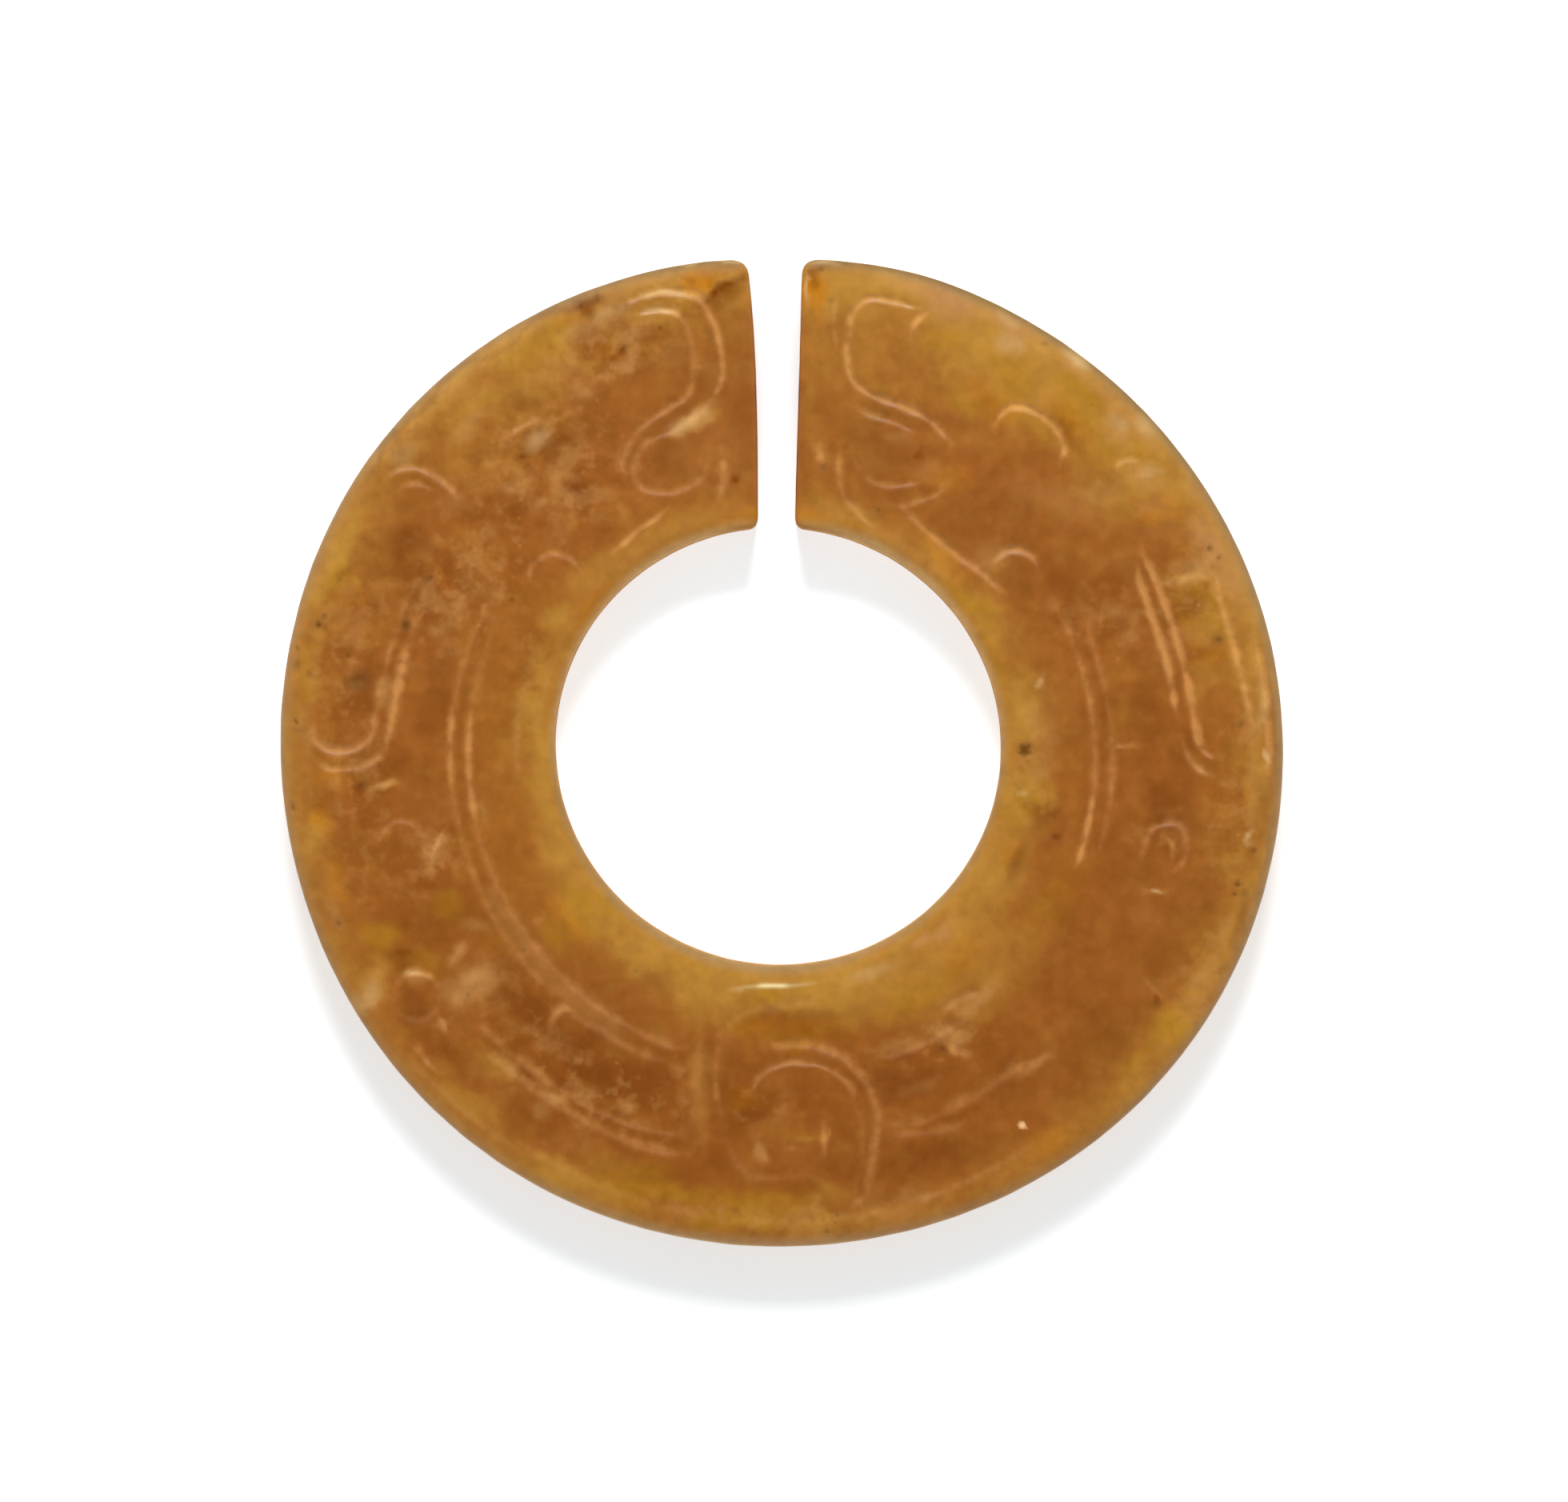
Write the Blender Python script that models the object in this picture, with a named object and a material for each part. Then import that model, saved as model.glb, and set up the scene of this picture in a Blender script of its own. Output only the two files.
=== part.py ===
"""Jade slit disc (jue): a flat ring of russet jade, cut through by one narrow slit.

The face carries shallow incised ornament: a beast's head in profile on each side of the
slit, paired band lines that follow the ring, hooked tails, a ring eye and a square spiral
opposite the slit. The disc is one stone, so it is one solid, lying on its plain back.

+Z is up and +Y points through the slit. The origin is on the underside, below the middle
of the ring. Sizes are in millimetres, and the finished mesh is scaled to metres.

A place on the ring is given as (bearing, radius): the bearing is in degrees, clockwise
from the slit as seen from above.
"""

from math import ceil, cos, exp, hypot, pi, radians, sin

import bmesh
import bpy
from mathutils import Vector, kdtree
from mathutils.geometry import delaunay_2d_cdt

MM = 0.001

# The ring: mean sizes, and how far the hand-ground outline departs from a true circle.
# Each swell of the rim is (height, bearing, reach), with the last two in degrees.
THICKNESS = 4.0
OUTER_RADIUS = 25.04
OUTER_OVAL = 0.2
OUTER_OVAL_BEARING = 110.0
OUTER_TRIANGLE = 0.06
OUTER_TRIANGLE_BEARING = 82.0
OUTER_SQUARENESS = 0.08
OUTER_SQUARENESS_BEARING = 39.0
RIM_SWELLS = ((0.11, 18.0, 10.0), (0.08, 76.0, 15.0))
SLIT_WEAR = 0.13
SLIT_WEAR_BEARING = -0.5
SLIT_WEAR_REACH = 8.0
HOLE_RADIUS = 11.07
HOLE_OVAL = 0.12
HOLE_OVAL_BEARING = 102.0
HOLE_CENTRE = (-0.11, 0.25)

# The slit: where its two faces stand at the hole, and how far they spread towards the rim
SLIT_LEFT = -1.11
SLIT_LEFT_SPREAD = -0.55
SLIT_LEFT_BEND = 3.0
SLIT_RIGHT = 0.7
SLIT_RIGHT_SPREAD = 0.38
SLIT_RIGHT_BEND = 1.0
SLIT_INNER_Y = 11.3
SLIT_OUTER_Y = 24.8
OUTER_CORNER = 0.9
HOLE_CORNER = 0.5

# Worn, rounded edges as (width, height) of each rounding
RIM_ROUND = (1.0, 0.65)
HOLE_ROUND = (0.85, 0.6)
SLIT_ROUND = (0.35, 0.3)
BACK_ROUND = (0.4, 0.35)
ROUND_FADE = 3.0
SLIT_TIP_DROP = 0.03

# Incised lines
LINE_WIDTH = 0.56
LINE_DEPTH = 0.2

# Bands that the paired lines follow
INNER_BAND = 15.7
INNER_BAND_OUTER = 16.55
RIGHT_BAND = 19.86
RIGHT_BAND_OUTER = 20.65
LOWER_BAND = 20.1
LOWER_BAND_OUTER = 20.82

# Mesh fineness
RIM_STEP = 1.15
HOLE_STEP = 0.85
CORNER_STEPS = 3
SLIT_STEPS = 7
ROUND_STEPS = 3
BACK_STEPS = 2
LINE_STEP = 0.75
BEND_STEPS = 16
FILL_STEP = 1.9
FILL_CLEARANCE = 0.75
FILL_MARGIN = 1.25
WALL_CLEARANCE = 0.17
SLIT_CLEARANCE = 1.8
SPOT_CELL = 1.0
JOINED = 1e-6
SHARP_ANGLE = 20.0

JADE_COLOUR = (0.38, 0.135, 0.03, 1.0)


def place(bearing, radius):
    """The point (x, y) at a bearing and radius."""
    return Vector((radius * sin(radians(bearing)), radius * cos(radians(bearing))))


def outer_radius(bearing):
    """The outline of the ring at a bearing."""
    oval = OUTER_OVAL * cos(2 * radians(bearing - OUTER_OVAL_BEARING))
    triangle = OUTER_TRIANGLE * cos(3 * radians(bearing - OUTER_TRIANGLE_BEARING))
    square = OUTER_SQUARENESS * cos(4 * radians(bearing - OUTER_SQUARENESS_BEARING))
    from_slit = (bearing - SLIT_WEAR_BEARING + 180) % 360 - 180
    wear = SLIT_WEAR * exp(-((from_slit / SLIT_WEAR_REACH) ** 2))
    swell = sum(height * exp(-(((bearing - at) / reach) ** 2))
                for height, at, reach in RIM_SWELLS)
    return OUTER_RADIUS + oval + triangle + square + swell - wear


def hole_point(bearing):
    """The point on the edge of the hole at a bearing from the hole's own centre."""
    oval = HOLE_OVAL * cos(2 * radians(bearing - HOLE_OVAL_BEARING))
    return place(bearing, HOLE_RADIUS + oval) + Vector(HOLE_CENTRE)


def slit_face(part, hole_x, spread, bend):
    """The point on a slit face: part is 0 at the hole and 1 at the rim."""
    y = SLIT_INNER_Y + part * (SLIT_OUTER_Y - SLIT_INNER_Y)
    return Vector((hole_x + spread * part**bend, y))


# ---------------------------------------------------------------- incised lines


def run(start, end, radius, end_radius=None):
    """A line that follows the ring from one bearing to another."""
    steps = max(2, ceil(abs(radians(end - start)) * radius / LINE_STEP))
    last = radius if end_radius is None else end_radius
    parts = [i / steps for i in range(steps + 1)]
    return [place(start + (end - start) * t, radius + (last - radius) * t) for t in parts]


def drawn(*points):
    """A freehand line, bent smoothly through (bearing, radius) points."""
    knots = [place(*point) for point in points]
    knots = [2 * knots[0] - knots[1], *knots, 2 * knots[-1] - knots[-2]]
    fine = []
    for a, b, c, d in zip(knots, knots[1:], knots[2:], knots[3:]):
        for i in range(BEND_STEPS):
            t = i / BEND_STEPS
            fine.append(
                0.5 * (2 * b + (c - a) * t + (2 * a - 5 * b + 4 * c - d) * t**2
                       + (3 * b - a - 3 * c + d) * t**3)
            )
    return even_steps([*fine, knots[-2]], LINE_STEP)


def ring(bearing, radius, size):
    """A closed circle about a point of the ring."""
    centre = place(bearing, radius)
    steps = ceil(2 * pi * size / LINE_STEP)
    turns = [2 * pi * i / steps for i in range(steps + 1)]
    return [centre + size * Vector((cos(turn), sin(turn))) for turn in turns]


def even_steps(points, step):
    """The same path with its points an even step apart."""
    lengths = [0.0]
    for a, b in zip(points, points[1:]):
        lengths.append(lengths[-1] + (b - a).length)
    count = max(2, round(lengths[-1] / step))
    path = []
    j = 0
    for i in range(count + 1):
        want = lengths[-1] * i / count
        while j < len(points) - 2 and lengths[j + 1] < want:
            j += 1
        part = (want - lengths[j]) / (lengths[j + 1] - lengths[j])
        path.append(points[j].lerp(points[j + 1], min(1.0, part)))
    return path


def right_head():
    """The head to the right of the slit: crest, brow, nostril, eye, cheek, jaw and chin."""
    return [
        drawn((17.6, 23.3), (14, 23.25), (11, 23.1), (9.5, 22.4), (9.2, 21.2), (9.7, 19.9),
              (11.3, 18.9), (15, 18.4), (20, 18.35), (25, 18.15), (28.8, 17.65)),
        drawn((12.2, 17.65), (15, 17.5), (19, 17.5), (23.3, 17.35)),
        drawn((17.1, 22.6), (17.5, 22.0), (18.1, 21.3)),
        drawn((13.2, 15.6), (15, 14.95), (18, 14.45), (21.5, 14.4), (25, 14.8), (28.3, 15.3)),
        drawn((30.6, 16.5), (31.5, 15.8), (31, 15.1), (29, 14.5), (25.5, 13.78)),
        drawn((26.5, 13.7), (31, 13.45), (37, 13.27), (43, 13.28), (48.5, 13.5), (53.8, 13.65)),
        drawn((11.2, 15.5), (11.7, 14.6), (12.9, 13.7), (15, 13.1), (18.5, 12.75)),
        drawn((6.9, 15.3), (7.7, 14.7)),
    ]


def left_head():
    """The head to the left of the slit, whose crest line runs on around the eye."""
    return [
        drawn((341, 23.8), (343.8, 23.88), (346.5, 23.7), (349.2, 23.35), (350.6, 22.5),
              (351.4, 21.2), (351.6, 19.8), (350.8, 18.7), (348.8, 18.0), (345.5, 17.4),
              (341, 17.0), (337, 16.9), (334.2, 16.5), (332.4, 15.8), (332.4, 15.0),
              (334.3, 14.45), (338, 14.1), (341.5, 14.1), (344.5, 14.5), (346.3, 15.2)),
        drawn((341.3, 23.1), (344, 22.98), (346.4, 22.7), (347.6, 22.0), (347.8, 20.9),
              (347.3, 19.85), (346.6, 19.0), (344.6, 18.35), (341, 18.05), (337, 17.7),
              (333.8, 17.2), (331.4, 16.5), (330.7, 15.8)),
        drawn((348.8, 15.1), (348.3, 14.2), (347.2, 13.5), (345.4, 12.9)),
        drawn((319.5, 13.0), (324, 13.12), (329.5, 13.22), (334.8, 13.3)),
    ]


def right_tail():
    """The right half of the body: arcs behind the head, paired lines and a small arch."""
    return [
        drawn((33.5, 19.6), (33.1, 20.2), (34.2, 20.9), (36.4, 21.25), (39, 21.3),
              (41.4, 21.15), (43, 20.8), (43.9, 20.3)),
        drawn((48.9, 14.2), (48.2, 14.7), (48.7, 15.3), (50.5, 15.8), (53, 15.95), (55, 15.7)),
        run(61.5, 111.5, INNER_BAND - 0.1, INNER_BAND + 0.2),
        run(68, 106, INNER_BAND_OUTER, INNER_BAND_OUTER + 0.15),
        drawn((89, 17.0), (89, 17.7)),
        drawn((63, 20.1), (66, RIGHT_BAND), (76, RIGHT_BAND), (84.8, 19.95), (88.3, 20.15),
              (90.3, 20.4), (92, 20.9), (93.3, 21.6)),
        drawn((61.5, 20.65), (66, RIGHT_BAND_OUTER), (76, RIGHT_BAND_OUTER), (85, 20.77),
              (88.6, 20.98), (90.2, 21.35), (90.9, 21.9)),
        drawn((65.3, 23.5), (69, 23.42), (76, 23.3), (82.9, 23.48), (86, 23.6)),
        drawn((107, 18.85), (104, 18.8), (101.6, 19.0), (100.2, 19.7), (100.5, 20.4),
              (102.5, 20.8), (105, 20.9), (106.6, 20.65)),
        drawn((104.9, 20.3), (103.1, 20.1), (102.6, 19.7)),
        drawn((110.1, 20.35), (110.8, 19.85)),
    ]


def lower_right():
    """Band lines from the spiral towards the right, the inner one ending in a barb."""
    return [
        drawn((163.2, 16.0), (158, 16.2), (152.8, 16.25), (149.2, 16.2), (145.9, 16.4)),
        drawn((150.6, 16.8), (149.8, 17.35), (149.1, 17.75)),
        drawn((148.5, 15.5), (145.8, 15.2), (142.6, 15.3), (138.9, 15.65)),
        drawn((163.4, 19.5), (158.6, 19.75), (151.4, 19.7), (144.5, 19.65), (141.2, 19.95),
              (138.4, 20.3)),
        run(163, 152.8, 20.25, 20.75),
    ]


def spiral():
    """The square spiral opposite the slit, with a band line beside it."""
    return [
        drawn((169, 12.7), (176, 12.6), (183, 12.75), (188, 13.2), (191.1, 14.3), (191.6, 15.7),
              (190.8, 17.1), (189.6, 18.6), (187.6, 20.0), (185, 21.05), (181.5, 21.4),
              (178, 21.3), (175, 21.0)),
        drawn((183.2, 14.85), (178, 14.85), (173, 14.95), (169, 15.45), (166.3, 16.3),
              (165.1, 17.6), (165.1, 19), (166.3, 20.6), (168, 22), (170, 22.9)),
        drawn((184.6, 16.9), (182.8, 16.2), (179.5, 15.75), (175.5, 15.7), (171.5, 16.1),
              (168.8, 17), (167.8, 18.3), (167.9, 19.6), (168.9, 21), (170.2, 22)),
        drawn((173.9, 20.2), (173.3, 18.8)),
        drawn((181.7, 20.7), (182.3, 20.1), (183.7, 19.4)),
        drawn((196, 14.7), (194.9, 16.5), (193.9, 18.2), (193.5, 19.3)),
    ]


def lower_left():
    """Band lines from the spiral towards the left, and the ring eye at their end."""
    return [
        drawn((194.2, 19.85), (201, 20.0), (207, LOWER_BAND), (215, LOWER_BAND),
              (222, 20.15), (229, 20.3)),
        drawn((193.2, 20.65), (199, 20.85), (206, LOWER_BAND_OUTER),
              (215, LOWER_BAND_OUTER), (226, 20.95)),
        ring(235.8, 22.0, 1.2),
        run(197.5, 294, INNER_BAND - 0.08),
        drawn((200, 16.5), (208, INNER_BAND_OUTER), (216, 16.6), (219.4, 16.8),
              (220.6, 17.3), (219.9, 18.0)),
        run(224, 298, INNER_BAND_OUTER, INNER_BAND_OUTER - 0.05),
        drawn((271.7, 16.95), (271.9, 17.5)),
        drawn((256.9, 20.7), (258.8, 20.25), (259.8, 19.5), (259.1, 18.8), (257.3, 18.6)),
        drawn((256.7, 17.3), (254.4, 17.95), (252.2, 18.65)),
        drawn((231.9, 22.3), (231.3, 21.8), (230.8, 21.4)),
        run(226.8, 230.2, 23.5),
        drawn((265.4, 19.15), (265.5, 20.6)),
    ]


def left_tail():
    """The left half of the body: a double hooked line, a hood, a scroll and an ear."""
    return [
        drawn((273.6, 23.35), (271.8, 23.3), (270.5, 22.8), (270.1, 22.0), (270.7, 21.1),
              (272.4, 20.55), (276, 20.35), (282, 20.22), (289, 20.15), (294.5, 20.3)),
        drawn((268.9, 23.3), (268.0, 22.6), (267.8, 21.6), (268.3, 20.7), (269.5, 20.05),
              (271.8, 19.65), (275.5, 19.48), (280, 19.42), (286, 19.38), (292, 19.48),
              (296.7, 19.75)),
        drawn((305.2, 23.9), (306.9, 23.65), (308.2, 22.95), (308.8, 22.0), (308.8, 21.2),
              (308.1, 20.6)),
        drawn((304.4, 23.2), (306.1, 22.85), (306.9, 22.2), (306.9, 21.5)),
        drawn((324.6, 20.3), (322.5, 20.8), (319.5, 20.95), (317, 20.7), (315, 20.0),
              (314, 19.2), (315, 18.4)),
        drawn((304.8, 15.2), (306.4, 15.5), (308.5, 15.5), (310.8, 15.25), (312.3, 14.6),
              (312.8, 13.9), (311.8, 13.3)),
    ]


def incised_lines():
    """Every line of the ornament, as paths of points."""
    parts = (right_head, left_head, right_tail, lower_right, spiral, lower_left, left_tail)
    return [line for part in parts for line in part()]


# ---------------------------------------------------------------- outline and edges


def corner(before, tip, after, steps):
    """A rounded corner between two points on either side of its tip."""
    parts = [(i + 1) / (steps + 1) for i in range(steps)]
    return [before.lerp(tip, t).lerp(tip.lerp(after, t), t) for t in parts]


def bearing_at(x, radius):
    """The bearing where a circle of a given radius reaches x, near the slit."""
    return 180 / pi * (x / radius) * (1 + (x / radius) ** 2 / 6)


def outline():
    """The plan outline, clockwise, as (point, edge rounding) pairs."""
    right = (SLIT_RIGHT, SLIT_RIGHT_SPREAD, SLIT_RIGHT_BEND)
    left = (SLIT_LEFT, SLIT_LEFT_SPREAD, SLIT_LEFT_BEND)
    right_tip_x = slit_face(1, *right).x
    left_tip_x = slit_face(1, *left).x
    start = bearing_at(right_tip_x + OUTER_CORNER, outer_radius(0))
    end = 360 + bearing_at(left_tip_x - OUTER_CORNER, outer_radius(0))
    steps = round(radians(end - start) * OUTER_RADIUS / RIM_STEP)
    rim = [place(b, outer_radius(b)) for b in spaced(start, end, steps)]

    reach = SLIT_OUTER_Y - SLIT_INNER_Y
    face_parts = spaced(HOLE_CORNER / reach, 1 - OUTER_CORNER / reach, SLIT_STEPS)
    right_face = [slit_face(t, *right) for t in face_parts]
    left_face = [slit_face(t, *left) for t in reversed(face_parts)]

    hole_end = bearing_at(SLIT_RIGHT + HOLE_CORNER - HOLE_CENTRE[0], HOLE_RADIUS)
    hole_start = 360 + bearing_at(SLIT_LEFT - HOLE_CORNER - HOLE_CENTRE[0], HOLE_RADIUS)
    steps = round(radians(hole_start - hole_end) * HOLE_RADIUS / HOLE_STEP)
    hole = [hole_point(b) for b in spaced(hole_start, hole_end, steps)]

    def tip(face, curve_y):
        return Vector((face, curve_y))

    outer_y = outer_radius(0) - SLIT_TIP_DROP
    hole_y = HOLE_RADIUS - HOLE_OVAL + HOLE_CENTRE[1]
    rings = [
        (rim, RIM_ROUND),
        (corner(rim[-1], tip(left_tip_x, outer_y), left_face[0], CORNER_STEPS), SLIT_ROUND),
        (left_face, SLIT_ROUND),
        (corner(left_face[-1], tip(SLIT_LEFT, hole_y), hole[0], CORNER_STEPS), SLIT_ROUND),
        (hole, HOLE_ROUND),
        (corner(hole[-1], tip(SLIT_RIGHT, hole_y), right_face[0], CORNER_STEPS), SLIT_ROUND),
        (right_face, SLIT_ROUND),
        (corner(right_face[-1], tip(right_tip_x, outer_y), rim[0], CORNER_STEPS), SLIT_ROUND),
    ]
    pairs = []
    for points, rounding in rings:
        for point in points:
            away = min((point - points[0]).length, (point - points[-1]).length)
            part = min(1.0, away / ROUND_FADE)
            ease = part * part * (3 - 2 * part)
            pairs.append(
                (point, [s + (r - s) * ease for r, s in zip(rounding, SLIT_ROUND)])
            )
    return pairs


def spaced(first, last, steps):
    """Evenly spaced numbers from first to last."""
    return [first + (last - first) * i / steps for i in range(steps + 1)]


def inward_normals(points):
    """The unit normal into the stone at each point of the clockwise outline."""
    normals = []
    for i, after in enumerate(points[1:] + points[:1]):
        along = (after - points[i - 1]).normalized()
        normals.append(Vector((along.y, -along.x)))
    return normals


def edge_rings():
    """Rings of points from the edge of the back, round the wall, to the edge of the face."""
    pairs = outline()
    points = [point for point, rounding in pairs]
    normals = inward_normals(points)
    rings = []
    for i in range(BACK_STEPS + 1):
        turn = pi / 2 * (1 - i / BACK_STEPS)
        inset = BACK_ROUND[0] * (1 - cos(turn))
        height = BACK_ROUND[1] * (1 - sin(turn))
        rings.append([(p + n * inset).to_3d() + Vector((0, 0, height))
                      for p, n in zip(points, normals)])
    for i in range(ROUND_STEPS + 1):
        turn = pi / 2 * i / ROUND_STEPS
        rings.append([
            (p + n * (wide * (1 - cos(turn)))).to_3d()
            + Vector((0, 0, THICKNESS - high * (1 - sin(turn))))
            for (p, (wide, high)), n in zip(pairs, normals)
        ])
    return rings


# ---------------------------------------------------------------- face and solid


class Spots:
    """Points already placed on the face, kept in cells so that near ones are found fast."""

    def __init__(self, cell):
        self.cell = cell
        self.cells = {}

    def add(self, point):
        key = (int(point.x // self.cell), int(point.y // self.cell))
        self.cells.setdefault(key, []).append(point)

    def clear_of(self, point, distance):
        i, j = int(point.x // self.cell), int(point.y // self.cell)
        reach = ceil(distance / self.cell)
        return all(
            hypot(point.x - other.x, point.y - other.y) >= distance
            for a in range(i - reach, i + reach + 1)
            for b in range(j - reach, j + reach + 1)
            for other in self.cells.get((a, b), ())
        )


def face_points(border):
    """Plan points of the face with their depths, and the edges that the mesh must keep."""
    points = [Vector((p.x, p.y)) for p in border]
    edges = [(i, (i + 1) % len(points)) for i in range(len(points))]
    depths = [0.0] * len(points)
    spots = Spots(SPOT_CELL)
    for point in points:
        spots.add(point)

    lines = incised_lines()
    for line in lines:
        closed = (line[0] - line[-1]).length < JOINED
        path = line[:-1] if closed else line
        first = len(points)
        for i, point in enumerate(path):
            points.append(point)
            at_end = not closed and i in (0, len(path) - 1)
            depths.append(0.0 if at_end else LINE_DEPTH)
            spots.add(point)
        edges += [(first + i, first + i + 1) for i in range(len(path) - 1)]
        if closed:
            edges.append((len(points) - 1, first))

    for line in lines:
        for before, point, after in zip(line, line[1:], line[2:]):
            along = (after - before).normalized()
            across = Vector((-along.y, along.x)) * LINE_WIDTH / 2
            for side in (point + across, point - across):
                if spots.clear_of(side, WALL_CLEARANCE):
                    points.append(side)
                    depths.append(0.0)
                    spots.add(side)

    rows = round((OUTER_RADIUS - HOLE_RADIUS) / FILL_STEP)
    for row in range(rows):
        radius = HOLE_RADIUS + (row + 0.5) * (OUTER_RADIUS - HOLE_RADIUS) / rows
        count = round(2 * pi * radius / FILL_STEP)
        for i in range(count):
            point = place(360 * (i + 0.5 * (row % 2)) / count, radius)
            in_slit = abs(point.x) < SLIT_CLEARANCE and point.y > 0
            near_edge = not (
                HOLE_RADIUS + FILL_MARGIN < radius < OUTER_RADIUS - FILL_MARGIN)
            if not in_slit and not near_edge and spots.clear_of(point, FILL_CLEARANCE):
                points.append(point)
                depths.append(0.0)
                spots.add(point)
    return points, edges, depths


def jade_disc():
    """The whole stone as one closed solid."""
    rings = edge_rings()
    mesh = bmesh.new()
    loops = [[mesh.verts.new(point * MM) for point in ring_points] for ring_points in rings]
    for low, high in zip(loops, loops[1:]):
        for i in range(len(low)):
            j = (i + 1) % len(low)
            mesh.faces.new((low[j], low[i], high[i], high[j]))

    back = [Vector((p.x, p.y)) for p in rings[0]]
    fill(mesh, back, [(i, (i + 1) % len(back)) for i in range(len(back))],
         [0.0] * len(back), loops[0], 0.0, False)
    points, edges, depths = face_points(rings[-1])
    fill(mesh, points, edges, depths, loops[-1], THICKNESS, True)

    bmesh.ops.triangulate(mesh, faces=mesh.faces[:], quad_method="SHORT_EDGE")
    bmesh.ops.recalc_face_normals(mesh, faces=mesh.faces[:])
    data = bpy.data.meshes.new("jade_disc")
    mesh.to_mesh(data)
    mesh.free()
    data.shade_smooth()
    data.set_sharp_from_angle(angle=radians(SHARP_ANGLE))
    return data


def fill(mesh, points, edges, depths, border, level, upward):
    """Close a face of the stone with triangles over its points."""
    found = kdtree.KDTree(len(points))
    for i, point in enumerate(points):
        found.insert(point.to_3d(), i)
    found.balance()
    flat, _, faces, sources, _, _ = delaunay_2d_cdt(points, edges, [], 1, JOINED)
    verts = []
    for point, source in zip(flat, sources):
        i = min(source) if source else found.find(point.to_3d())[1]
        if source and i < len(border):
            verts.append(border[i])
        else:
            height = level - depths[i]
            verts.append(mesh.verts.new(Vector((point.x, point.y, height)) * MM))
    for face in faces:
        corners = [verts[i] for i in face]
        mesh.faces.new(corners if upward else corners[::-1])


def jade():
    """Polished russet jade."""
    material = bpy.data.materials.new("jade")
    material.use_nodes = True
    shader = material.node_tree.nodes["Principled BSDF"]
    shader.inputs["Base Color"].default_value = JADE_COLOUR
    shader.inputs["Metallic"].default_value = 0.0
    shader.inputs["Roughness"].default_value = 0.3
    material.diffuse_color = JADE_COLOUR
    return material


def main():
    for thing in list(bpy.data.objects):
        bpy.data.objects.remove(thing, do_unlink=True)
    disc = bpy.data.objects.new("jade_disc", jade_disc())
    disc.data.materials.append(jade())
    bpy.context.scene.collection.objects.link(disc)


main()
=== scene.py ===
"""Jade slit disc (jue): the carved stone, its finish and a plain studio.

The stone lies flat on its plain back, with its carved face up and its slit towards +Y. It
is one carved mesh that stands in the place of the plain solid of the frame: a ring with
worn edges, cut by shallow lines, with pits, chips and a slightly uneven polish.

A place on the ring is given as (bearing, radius), with the bearing in degrees, clockwise
from the slit as seen from above. Stains are placed by x and y. All of these are in
millimetres, and the finished mesh is scaled to metres.
"""

from math import ceil, cos, degrees, exp, hypot, pi, radians, sin

import bpy
import numpy as np
from bpy.props import FloatProperty, FloatVectorProperty, IntProperty, PointerProperty
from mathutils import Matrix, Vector, kdtree, noise
from mathutils.geometry import delaunay_2d_cdt


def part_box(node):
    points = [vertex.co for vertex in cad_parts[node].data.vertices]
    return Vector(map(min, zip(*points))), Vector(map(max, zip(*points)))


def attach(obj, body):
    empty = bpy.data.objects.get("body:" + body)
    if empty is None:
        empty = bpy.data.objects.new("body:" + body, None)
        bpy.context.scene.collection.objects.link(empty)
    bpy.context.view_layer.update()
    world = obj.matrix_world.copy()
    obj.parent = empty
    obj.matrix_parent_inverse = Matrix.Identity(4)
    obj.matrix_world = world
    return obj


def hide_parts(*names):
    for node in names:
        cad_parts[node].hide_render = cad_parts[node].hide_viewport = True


bl_info = {
    "name": "Jade slit disc",
    "version": (1, 0, 0),
    "blender": (4, 5, 0),
    "location": "3D View > Sidebar > Jade disc",
    "description": "Carves a jade slit disc and sets it in a plain studio",
    "category": "Add Mesh",
}

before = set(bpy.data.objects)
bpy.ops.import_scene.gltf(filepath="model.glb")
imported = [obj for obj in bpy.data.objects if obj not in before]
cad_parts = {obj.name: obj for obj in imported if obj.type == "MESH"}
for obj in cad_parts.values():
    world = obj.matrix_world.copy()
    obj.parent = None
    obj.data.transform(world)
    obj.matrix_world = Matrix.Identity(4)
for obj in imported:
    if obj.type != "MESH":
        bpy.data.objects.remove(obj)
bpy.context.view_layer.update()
LOW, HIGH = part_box("jade_disc")
MM = 0.001
THICKNESS = (HIGH.z - LOW.z) / MM

# The ring, with the ways in which its hand-ground outline departs from a true circle
OUTER_RADIUS = 25.04
OUTER_LOBES = ((2, 0.2, 110.0), (3, 0.06, 82.0), (4, 0.08, 39.0))
RIM_SWELLS = ((0.11, 18.0, 10.0), (0.08, 76.0, 15.0))
SLIT_WEAR = 0.13
SLIT_WEAR_BEARING = -0.5
SLIT_WEAR_REACH = 8.0
HOLE_RADIUS = 11.07
HOLE_OVAL = 0.12
HOLE_OVAL_BEARING = 102.0
HOLE_CENTRE = np.array((-0.11, 0.25))

# The slit: where its faces stand at the hole, how far they spread and how they bend
SLIT_LEFT = (-1.11, -0.55, 3.0)
SLIT_RIGHT = (0.7, 0.38, 1.0)
SLIT_INNER_Y = 11.3
SLIT_OUTER_Y = 24.8
OUTER_CORNER = 0.9
HOLE_CORNER = 0.5

# Worn, rounded edges as (width, height) of each rounding
RIM_ROUND = np.array((1.0, 0.65))
HOLE_ROUND = np.array((0.85, 0.6))
SLIT_ROUND = np.array((0.35, 0.3))
BACK_ROUND = np.array((0.4, 0.35))
# The length over which one rounding goes over into the next
ROUND_FADE = 3.0
# How far the mesh stays inside the solid
INSET = 0.008

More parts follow.
